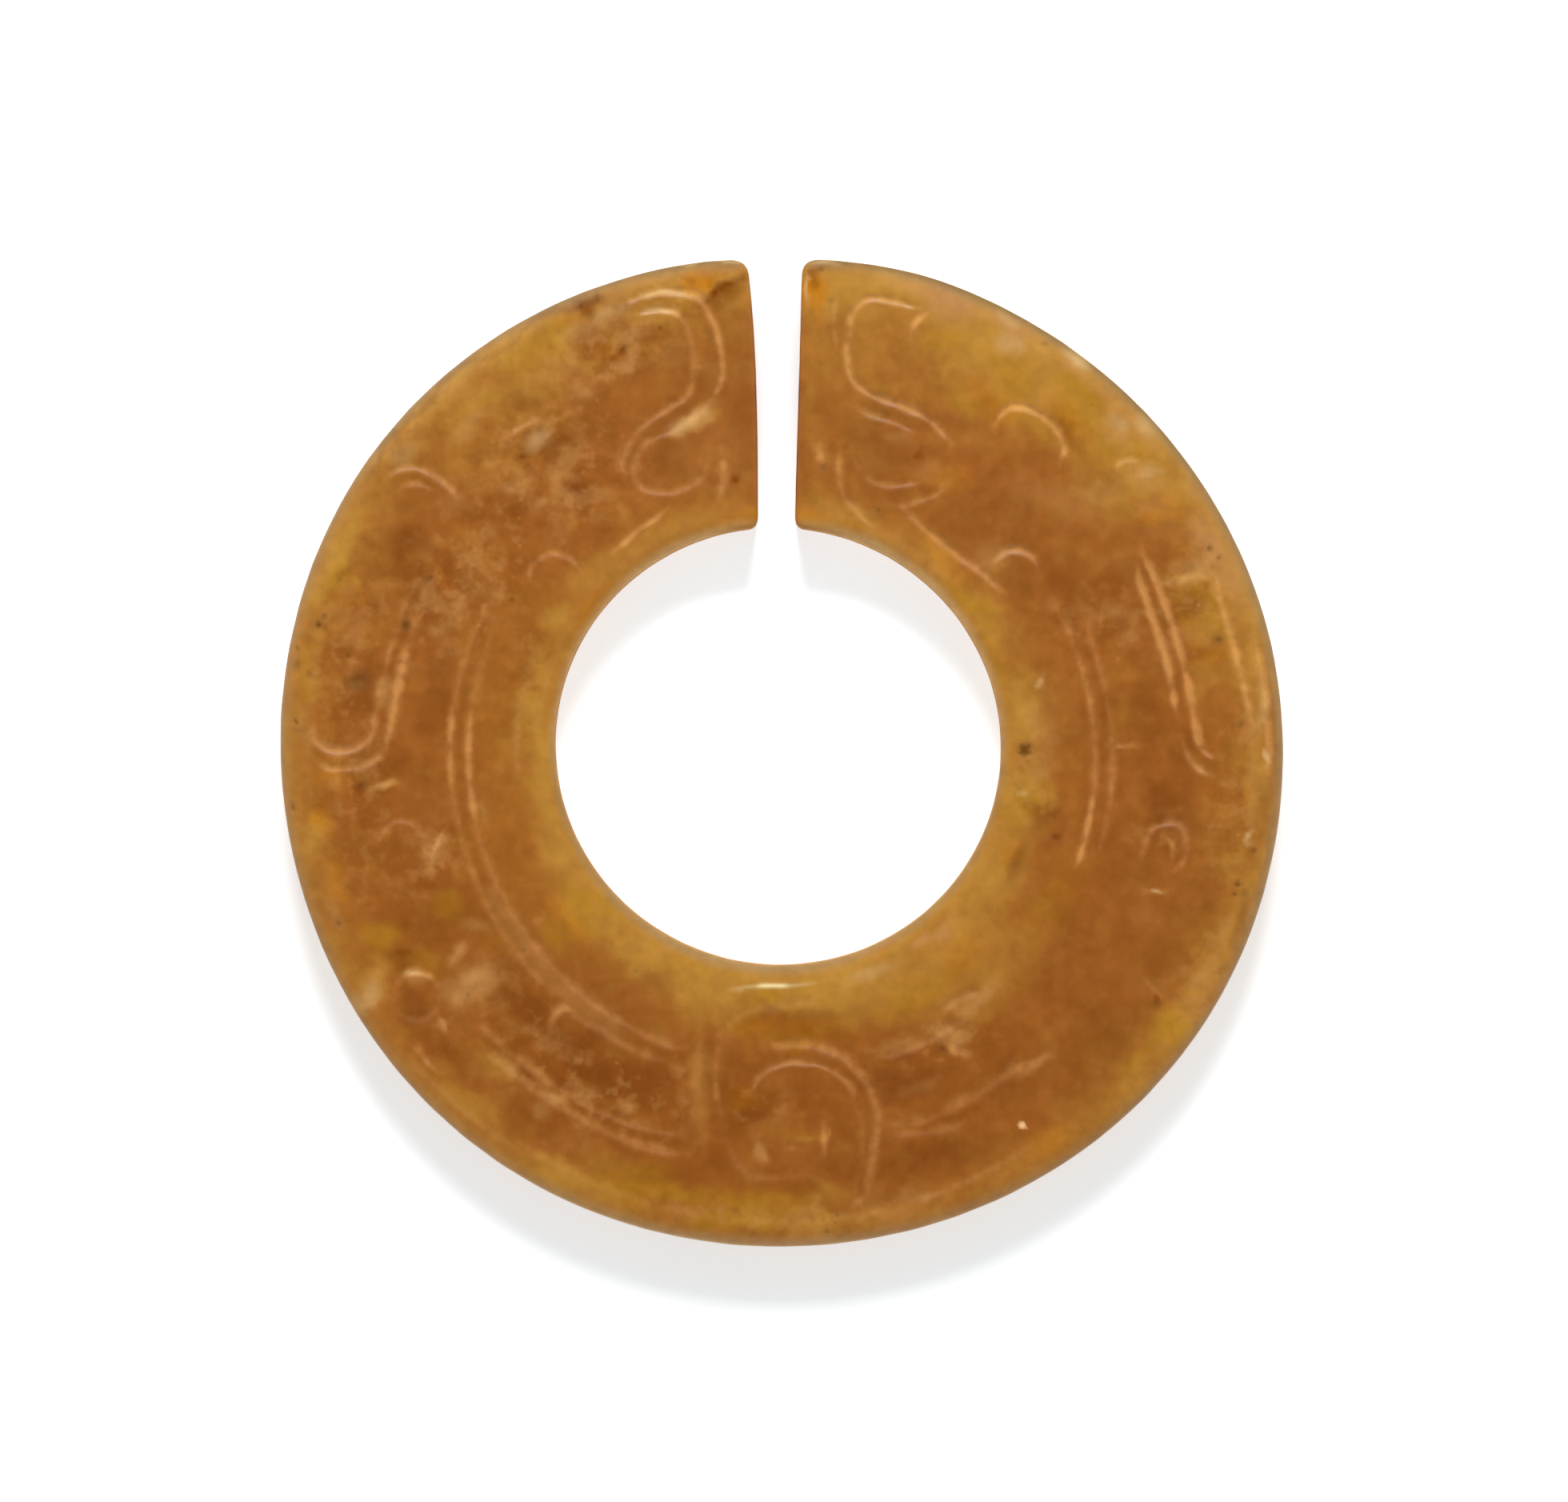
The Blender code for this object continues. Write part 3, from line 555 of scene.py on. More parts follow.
# Greenish clouds
OLIVE = (
    (8.8, 22.0, 2.0, 1.4, -30, 0.4), (9.2, 22.8, 1.2, 0.7, -25, 0.7),
    (8.5, 21.0, 1.6, 1.2, -20, 0.3), (9.2, 17.6, 1.2, 0.7, -30, 0.35),
    (11.5, 19.1, 1.5, 0.9, -30, 0.6), (13.0, 17.0, 2.4, 1.2, -45, 0.4),
    (14.6, 16.9, 1.1, 0.8, -50, 0.45), (15.5, 17.7, 2.2, 1.0, -45, 0.7),
    (15.7, 17.9, 0.7, 0.6, 0, 0.6), (16.1, 15.1, 0.7, 1.0, 10, 0.5),
    (9.4, 7.4, 1.4, 0.6, -50, 0.7), (18.8, 14.8, 1.5, 0.9, -45, 0.5),
    (17.7, 12.6, 0.9, 0.5, 0, 0.35), (20.2, 13.1, 0.5, 0.6, 0, 0.4),
    (11.0, 4.6, 1.6, 0.6, -65, 0.3), (20.9, 8.6, 1.2, 0.7, 0, 0.35),
    (20.3, 8.0, 0.8, 0.7, 0, 0.5), (21.6, 7.6, 1.0, 0.8, 60, 0.5),
    (20.6, 6.8, 1.0, 1.4, 20, 0.4), (21.9, 6.4, 0.7, 1.6, 20, 0.4),
    (22.6, 4.6, 0.5, 2.0, 12, 0.4), (12.2, -2.8, 1.6, 0.8, 80, 0.6),
    (13.8, -7.4, 2.4, 1.2, 60, 0.25), (19.7, -13.8, 1.1, 0.8, 40, 0.7),
    (18.2, -15.6, 1.2, 0.5, 40, 0.4), (6.8, -12.2, 2.4, 0.9, 35, 0.4),
    (1.8, -11.75, 1.2, 0.15, 5, 0.4), (0.8, -19.2, 1.6, 0.5, 0, 0.3),
    (0.4, -14.2, 2.2, 0.5, 0, 0.3), (-0.5, -12.7, 2.0, 0.5, 0, 0.3),
    (-1.4, -22.5, 3.2, 0.7, 0, 0.45), (-0.9, -12.25, 1.2, 0.25, -8, 0.55),
    (-2.5, -23.8, 2.5, 0.5, 0, 0.5), (-6.0, -22.0, 2.2, 0.7, -14, 0.5),
    (-6.9, -21.1, 1.5, 0.8, -10, 0.4), (-8.0, -22.2, 2.2, 0.7, -20, 0.4),
    (-5.0, -11.0, 1.5, 0.6, -25, 0.4), (-9.8, -9.0, 1.0, 0.5, -45, 0.4),
    (-8.6, -7.8, 1.0, 0.6, -42, 0.5), (-11.3, -9.2, 1.3, 0.6, -45, 0.4),
    (-9.8, -7.6, 1.6, 0.7, -45, 0.5), (-18.2, -10.6, 1.6, 0.8, 0, 0.4),
    (-15.2, -8.8, 1.8, 0.7, 0, 0.1), (-16.8, -8.0, 1.0, 0.8, 0, 0.3),
    (-20.3, -9.3, 1.4, 0.9, 0, 0.5), (-14.0, -0.5, 12.0, 2.6, 90, 0.1),
    (-23.9, 3.0, 2.5, 0.4, 86, 0.4), (-22.0, 8.6, 0.7, 0.6, 60, 0.5),
    (-22.3, 9.0, 1.0, 0.6, 68, 0.4), (-18.3, 17.0, 1.8, 0.4, 45, 0.7),
    (-12.5, 19.8, 1.6, 0.9, 30, 0.4), (-11.2, 21.3, 0.9, 0.6, 20, 0.5),
    (-11.0, 21.4, 1.0, 0.8, 40, 0.5), (-4.6, 22.5, 0.9, 0.4, 10, 0.3),
)

# Dark brown clouds
UMBER = (
    (4.0, 16.0, 1.0, 1.8, 0, 0.35), (5.0, 17.2, 0.8, 0.6, 0, 0.3),
    (5.5, 14.9, 1.2, 1.0, 0, 0.25), (10.9, 17.6, 1.0, 0.7, -30, 0.3),
    (10.8, 17.4, 1.2, 0.7, -30, 0.3), (11.0, 17.5, 1.1, 0.7, -30, 0.35),
    (14.3, 16.3, 1.4, 0.5, -50, 0.55), (14.3, 16.2, 1.6, 0.7, -50, 0.45),
    (10.3, 11.5, 2.4, 1.8, -40, 0.2), (11.7, 8.7, 1.1, 1.0, 0, 0.4),
    (14.9, 8.2, 2.0, 1.5, -30, 0.4), (19.3, 8.8, 0.8, 0.5, 0, 0.4),
    (24.5, 2.5, 2.6, 0.35, 90, 0.4), (18.3, 1.6, 3.2, 0.9, 88, 0.45),
    (20.4, 0.0, 0.8, 1.6, 0, 0.65), (24.5, -2.5, 2.6, 0.4, 87, 0.4),
    (19.4, -2.6, 1.6, 1.3, 80, 0.75), (12.8, -2.9, 0.8, 0.5, 60, 0.3),
    (19.4, -4.4, 1.2, 0.9, 0, 0.4), (12.8, -3.1, 0.8, 0.6, 60, 0.35),
    (12.9, -3.2, 0.7, 0.5, 60, 0.5), (20.6, -5.4, 0.8, 0.6, 0, 0.3),
    (22.2, -6.2, 0.6, 1.2, 0, 0.4), (23.3, -8.2, 2.4, 0.4, 70, 0.3),
    (20.0, -7.6, 1.7, 1.3, 70, 0.3), (23.1, -9.0, 1.8, 0.4, 68, 0.35),
    (11.7, -5.4, 0.8, 0.6, 60, 0.3), (11.7, -5.6, 1.2, 0.5, 62, 0.3),
    (19.0, -10.5, 1.4, 1.0, 40, 0.4), (14.6, -9.2, 1.0, 0.7, 0, 0.3),
    (16.9, -13.7, 2.0, 1.2, 20, 0.55), (16.8, -15.2, 1.3, 0.8, 30, 0.35),
    (11.2, -16.6, 2.4, 1.3, 30, 0.4), (6.2, -15.0, 0.9, 0.4, 0, 0.4),
    (8.0, -20.4, 3.6, 0.9, 12, 0.6), (6.2, -16.6, 2.8, 1.1, 5, 0.85),
    (3.0, -20.8, 1.8, 0.8, 0, 0.3), (1.6, -13.4, 2.4, 0.7, 0, 0.45),
    (0.5, -13.2, 3.0, 0.6, 0, 0.6), (0.4, -14.2, 1.8, 0.6, 0, 0.45),
    (0.0, -13.6, 3.2, 0.5, -4, 0.6), (-0.8, -18.2, 1.0, 1.2, 0, 0.3),
    (-1.8, -18.2, 0.8, 1.0, 0, 0.5), (-1.8, -18.1, 1.0, 1.1, 0, 0.6),
    (-1.9, -17.6, 1.2, 1.9, 0, 0.7), (-4.0, -20.7, 2.0, 0.7, -10, 0.3),
    (-4.5, -18.8, 0.5, 0.5, 0, 0.4), (-6.6, -20.9, 1.4, 0.4, -15, 0.35),
    (-6.9, -21.0, 1.4, 0.7, -10, 0.3), (-6.8, -16.6, 1.8, 1.5, 0, 0.55),
    (-6.0, -11.3, 0.9, 0.5, -20, 0.3), (-10.0, -17.9, 0.8, 0.4, -30, 0.4),
    (-6.6, -11.2, 0.8, 0.6, 0, 0.5), (-9.6, -15.4, 3.0, 1.6, -28, 0.8),
    (-8.5, -13.6, 0.9, 0.7, 0, 0.4), (-8.5, -13.5, 0.8, 0.6, 0, 0.3),
    (-10.9, -16.8, 1.3, 0.5, -30, 0.5), (-12.3, -18.4, 1.9, 1.0, -28, 0.5),
    (-11.6, -14.6, 1.6, 0.9, -30, 0.4), (-12.9, -12.6, 1.8, 1.1, -30, 0.75),
    (-16.9, -14.9, 1.8, 0.6, -35, 0.5), (-13.6, -10.9, 1.2, 0.5, 0, 0.4),
    (-14.0, -11.0, 0.8, 0.5, 0, 0.3), (-13.8, -10.8, 1.0, 0.4, -40, 0.5),
    (-18.2, -12.5, 1.0, 1.0, 0, 0.65), (-16.5, -8.5, 3.2, 0.9, 0, 0.5),
    (-19.0, -4.6, 2.2, 1.8, 90, 0.2), (-21.5, -0.5, 1.8, 0.4, 0, 0.5),
    (-21.0, -0.2, 0.6, 0.5, 0, 0.5), (-20.8, 2.6, 1.4, 1.6, 0, 0.4),
    (-17.4, 2.4, 3.2, 0.8, 85, 0.4), (-17.2, 6.2, 1.0, 0.6, 0, 0.3),
    (-17.8, 7.6, 0.7, 0.9, 0, 0.35), (-18.0, 8.0, 0.9, 1.2, -20, 0.4),
    (-18.0, 8.2, 0.8, 1.2, -20, 0.5), (-19.2, 9.3, 1.0, 0.7, 0, 0.6),
    (-18.8, 10.4, 1.8, 0.7, -15, 0.65), (-14.2, 11.7, 1.6, 0.5, 8, 0.5),
    (-10.4, 13.0, 1.0, 0.7, 20, 0.45), (-11.6, 14.6, 0.4, 0.9, 20, 0.4),
    (-10.0, 12.9, 1.2, 0.7, 0, 0.4), (-10.0, 13.0, 0.9, 0.6, 0, 0.3),
    (-13.0, 17.6, 1.2, 0.8, 30, 0.3), (-12.4, 17.6, 1.2, 0.7, 35, 0.35),
    (-9.6, 15.4, 2.4, 1.6, 20, 0.25), (-5.7, 14.6, 1.4, 1.4, 0, 0.45),
    (-5.3, 19.6, 0.8, 0.8, 0, 0.45), (-3.5, 18.3, 0.7, 1.6, 0, 0.3),
    (-2.1, 18.5, 5.0, 0.7, 90, 0.35), (-2.2, 23.6, 0.5, 0.4, 0, 0.4),
)

# Brown shade that lies over the clear stone of the edges
DEEP = (
    (5.0, 17.3, 0.7, 0.6, 0, 0.25), (7.0, 19.6, 1.4, 1.4, 0, 0.2),
    (11.0, 17.5, 0.9, 0.5, -30, 0.3), (7.9, 11.0, 0.9, 0.35, -40, 0.25),
    (14.3, 16.3, 1.0, 0.4, -50, 0.25), (14.6, 16.6, 1.0, 0.6, -50, 0.25),
    (14.3, 16.2, 1.3, 0.6, -50, 0.35), (17.4, 9.0, 1.4, 0.9, 0, 0.35),
    (18.6, 8.9, 0.6, 0.4, 0, 0.3), (14.6, 6.6, 1.2, 0.8, 0, 0.35),
    (14.8, 6.6, 0.9, 0.5, 0, 0.3), (16.2, 6.9, 0.8, 0.5, 0, 0.25),
    (20.4, 7.6, 0.9, 0.8, 0, 0.65), (17.3, 5.9, 1.3, 0.9, 0, 0.35),
    (19.4, 4.6, 0.6, 0.7, 0, 0.3), (21.0, 4.9, 0.9, 0.7, 0, 0.45),
    (22.0, 5.0, 0.4, 1.2, 20, 0.3), (24.5, 2.5, 3.0, 0.35, 90, 0.3),
    (20.4, -3.7, 1.0, 0.7, 0, 0.4), (20.2, -3.7, 0.7, 0.6, 0, 0.25),
    (24.3, -4.6, 3.0, 0.22, 79, 0.25), (12.8, -2.7, 0.9, 0.7, 0, 0.4),
    (19.0, -4.3, 0.9, 0.5, 0, 0.2), (12.9, -3.2, 0.8, 0.5, 50, 0.35),
    (12.9, -3.6, 0.9, 0.6, 50, 0.3), (21.3, -7.0, 0.9, 0.9, 0, 0.25),
    (21.0, -7.2, 1.0, 0.9, 0, 0.2), (21.3, -7.8, 0.7, 0.7, 0, 0.2),
    (23.2, -8.8, 2.2, 0.4, 68, 0.3), (11.8, -5.4, 1.2, 0.35, 62, 0.2),
    (11.9, -5.6, 0.9, 0.6, 60, 0.2), (21.6, -11.0, 1.0, 0.6, 60, 0.3),
    (18.7, -11.3, 1.0, 0.9, 0, 0.25), (8.8, -11.1, 1.0, 0.7, 40, 0.25),
    (9.7, -12.4, 0.7, 0.5, 40, 0.2), (6.0, -15.3, 0.8, 0.4, 0, 0.2),
    (5.9, -15.2, 0.9, 0.5, 0, 0.25), (7.4, -22.3, 0.8, 0.5, 15, 0.3),
    (5.0, -19.8, 1.2, 0.5, 10, 0.25), (5.5, -22.2, 1.6, 0.5, 10, 0.3),
    (2.6, -14.5, 0.9, 0.4, 0, 0.25), (0.8, -14.3, 2.4, 0.6, 0, 0.3),
    (0.5, -13.4, 2.6, 0.5, 0, 0.4), (-0.5, -21.9, 3.4, 0.35, 0, 0.25),
    (-7.0, -21.3, 1.2, 0.4, -15, 0.3), (-6.1, -11.4, 0.9, 0.45, -30, 0.3),
    (-6.5, -11.5, 0.8, 0.5, -20, 0.3), (-8.4, -13.9, 1.0, 0.6, 0, 0.35),
    (-8.5, -13.9, 0.8, 0.5, 0, 0.25), (-12.5, -20.3, 1.4, 0.3, -30, 0.25),
    (-10.5, -17.0, 1.2, 0.5, -30, 0.3), (-8.6, -13.5, 0.7, 0.6, 0, 0.25),
    (-12.3, -16.8, 0.7, 0.4, -30, 0.35), (-15.0, -15.7, 0.7, 0.4, -40, 0.3),
    (-18.7, -11.0, 0.6, 0.4, 0, 0.3), (-18.4, -10.8, 0.9, 0.5, 0, 0.3),
    (-11.2, -6.3, 0.8, 0.7, -50, 0.35), (-15.6, -8.6, 1.4, 0.4, 0, 0.2),
    (-19.0, -10.4, 1.1, 0.7, 0, 0.35), (-15.4, -2.4, 0.6, 1.2, 0, 0.2),
    (-15.6, -2.0, 0.7, 1.4, 0, 0.25), (-21.0, -0.5, 0.6, 0.5, 0, 0.4),
    (-21.0, -0.5, 0.7, 0.4, 0, 0.3), (-22.6, -0.1, 0.5, 0.4, 0, 0.2),
    (-20.4, 2.0, 0.8, 0.7, 0, 0.25), (-21.2, 5.5, 0.6, 0.5, 0, 0.35),
    (-17.6, 7.7, 0.8, 0.7, 0, 0.35), (-17.6, 7.8, 0.7, 0.8, 0, 0.3),
    (-17.4, 8.4, 0.6, 0.5, 0, 0.3), (-18.2, 9.0, 0.8, 0.9, 0, 0.25),
    (-18.6, 10.4, 1.3, 0.8, 0, 0.3), (-18.6, 10.8, 1.2, 0.5, 0, 0.25),
    (-19.8, 15.0, 3.0, 0.25, 53, 0.35), (-13.1, 14.7, 0.5, 0.4, 0, 0.35),
    (-16.4, 18.6, 3.4, 0.25, 41, 0.4), (-10.7, 12.2, 1.0, 0.6, 0, 0.35),
    (-10.7, 12.6, 0.9, 0.5, 0, 0.35), (-10.0, 12.8, 0.6, 0.4, 0, 0.25),
    (-10.0, 12.9, 0.7, 0.5, 0, 0.25), (-12.6, 17.4, 0.9, 0.6, 0, 0.2),
    (-12.3, 21.5, 3.0, 0.22, 30, 0.35), (-3.0, 23.0, 0.8, 0.35, 30, 0.4),
)

# Red-brown, matt stains
RUST = (
    (1.6, 23.9, 0.4, 0.3, 0, 0.5), (1.8, 23.5, 0.3, 0.5, 0, 0.45),
    (1.9, 24.1, 0.4, 0.25, 0, 0.6), (2.2, 24.2, 0.5, 0.2, 0, 0.4),
    (7.2, 14.8, 0.3, 0.45, 0, 0.6), (18.4, 12.8, 0.8, 0.5, 20, 0.3),
    (18.5, 12.3, 1.5, 0.45, 0, 0.3), (12.2, 0.0, 0.3, 0.3, 0, 0.75),
    (24.6, -0.3, 2.4, 0.4, 90, 0.4), (24.1, -3.0, 1.5, 0.5, 85, 0.35),
    (13.8, -4.5, 0.3, 0.25, 0, 0.6), (11.8, -5.4, 0.5, 1.2, -25, 0.25),
    (18.8, -12.6, 0.3, 0.3, 0, 0.7), (9.6, -12.4, 1.0, 0.7, 40, 0.22),
    (9.4, -12.2, 0.9, 0.6, 40, 0.2), (-18.9, -10.3, 0.5, 0.3, 0, 0.5),
    (-21.2, -1.7, 0.3, 0.3, 0, 0.6), (-21.4, -0.5, 1.5, 0.3, 0, 0.4),
    (-19.3, 9.7, 0.5, 0.4, 0, 0.5), (-13.1, 14.7, 0.35, 0.3, 0, 0.7),
    (-13.4, 17.6, 1.1, 0.7, 30, 0.25), (-6.4, 10.0, 2.6, 0.5, 33, 0.12),
    (-9.7, 22.1, 0.6, 0.35, 0, 0.7), (-9.9, 22.6, 1.0, 0.4, 18, 0.85),
    (-8.1, 19.6, 0.2, 0.25, 0, 0.7), (-8.1, 20.2, 0.5, 0.4, 0, 0.4),
    (-7.8, 20.3, 0.3, 0.55, -20, 0.85), (-4.6, 19.0, 0.9, 1.1, 0, 0.2),
    (-2.44, 13.65, 0.13, 0.35, 0, 0.95), (-3.2, 20.4, 0.6, 2.2, -8, 0.22),
    (-3.3, 22.9, 0.5, 0.2, 45, 0.85), (-3.1, 22.6, 0.8, 0.6, 30, 0.45),
    (-2.7, 23.2, 0.7, 0.2, 25, 0.8), (-2.3, 23.0, 0.6, 0.5, 30, 0.5),
    (-2.0, 23.7, 0.6, 0.3, 10, 0.4), (-2.0, 23.8, 0.5, 0.2, 60, 0.6),
)

# Clear orange spots
ORANGE = (
    (1.8, 23.9, 0.5, 0.5, 0, 0.6), (1.8, 23.2, 0.7, 0.9, 0, 0.8), (1.8, 22.6, 0.5, 1.4, 0, 0.5),
    (1.4, 11.7, 0.8, 0.4, -15, 0.4), (10.4, 17.9, 1.2, 0.6, -20, 0.25),
    (8.6, 13.6, 1.4, 0.8, 0, 0.3), (11.3, 17.2, 1.3, 0.8, -30, 0.4),
    (8.1, 9.6, 1.5, 0.6, -42, 0.4), (14.5, 16.6, 1.6, 0.9, -42, 0.45),
    (18.3, 12.4, 1.3, 0.8, 0, 0.2), (18.7, 12.5, 1.1, 0.6, 10, 0.35),
    (18.9, 12.1, 1.1, 0.6, 20, 0.6), (21.6, 4.8, 1.2, 0.8, 0, 0.4),
    (24.3, 1.0, 2.0, 0.35, 88, 0.3), (11.5, -5.0, 0.6, 0.8, 60, 0.35),
    (9.1, -10.4, 1.3, 0.8, 42, 0.3), (7.7, -9.3, 1.5, 0.45, 38, 0.25),
    (13.6, -20.0, 1.2, 0.7, 40, 0.15), (13.0, -19.9, 1.6, 0.6, 38, 0.3),
    (5.0, -9.9, 1.4, 0.3, 22, 0.4), (1.0, -14.4, 2.4, 0.5, 0, 0.3),
    (0.6, -13.6, 2.6, 0.5, 0, 0.35), (-1.8, -17.6, 0.9, 0.8, 0, 0.25),
    (-1.5, -13.6, 1.4, 0.5, 0, 0.3), (-10.2, -9.0, 0.9, 0.5, -40, 0.3),
    (-11.0, -7.8, 1.0, 0.6, -45, 0.35), (-22.3, -7.0, 0.7, 1.6, 15, 0.3),
    (-23.1, -3.4, 0.7, 0.9, 0, 0.45), (-22.4, -1.2, 0.9, 0.6, 0, 0.35),
    (-21.5, -0.7, 1.0, 0.6, 0, 0.35), (-22.4, -0.4, 0.9, 0.4, 0, 0.35),
    (-21.6, 7.9, 0.7, 1.0, 20, 0.3), (-9.6, 7.0, 1.0, 0.7, 55, 0.3),
    (-18.8, 16.2, 0.5, 0.3, 40, 0.5), (-15.4, 16.0, 1.2, 0.6, 40, 0.25),
    (-10.4, 21.8, 1.0, 0.6, 20, 0.3), (-8.2, 20.3, 0.9, 0.5, 0, 0.4),
    (-4.3, 16.3, 1.1, 0.4, 22, 0.5), (-4.1, 23.7, 0.9, 0.5, 8, 0.9),
    (-4.0, 23.6, 1.2, 0.6, 8, 0.7), (-3.8, 23.7, 1.2, 0.4, 8, 0.6),
    (-1.5, 12.0, 0.5, 0.4, 0, 0.4), (-2.0, 24.1, 0.5, 0.35, 0, 0.6),
)

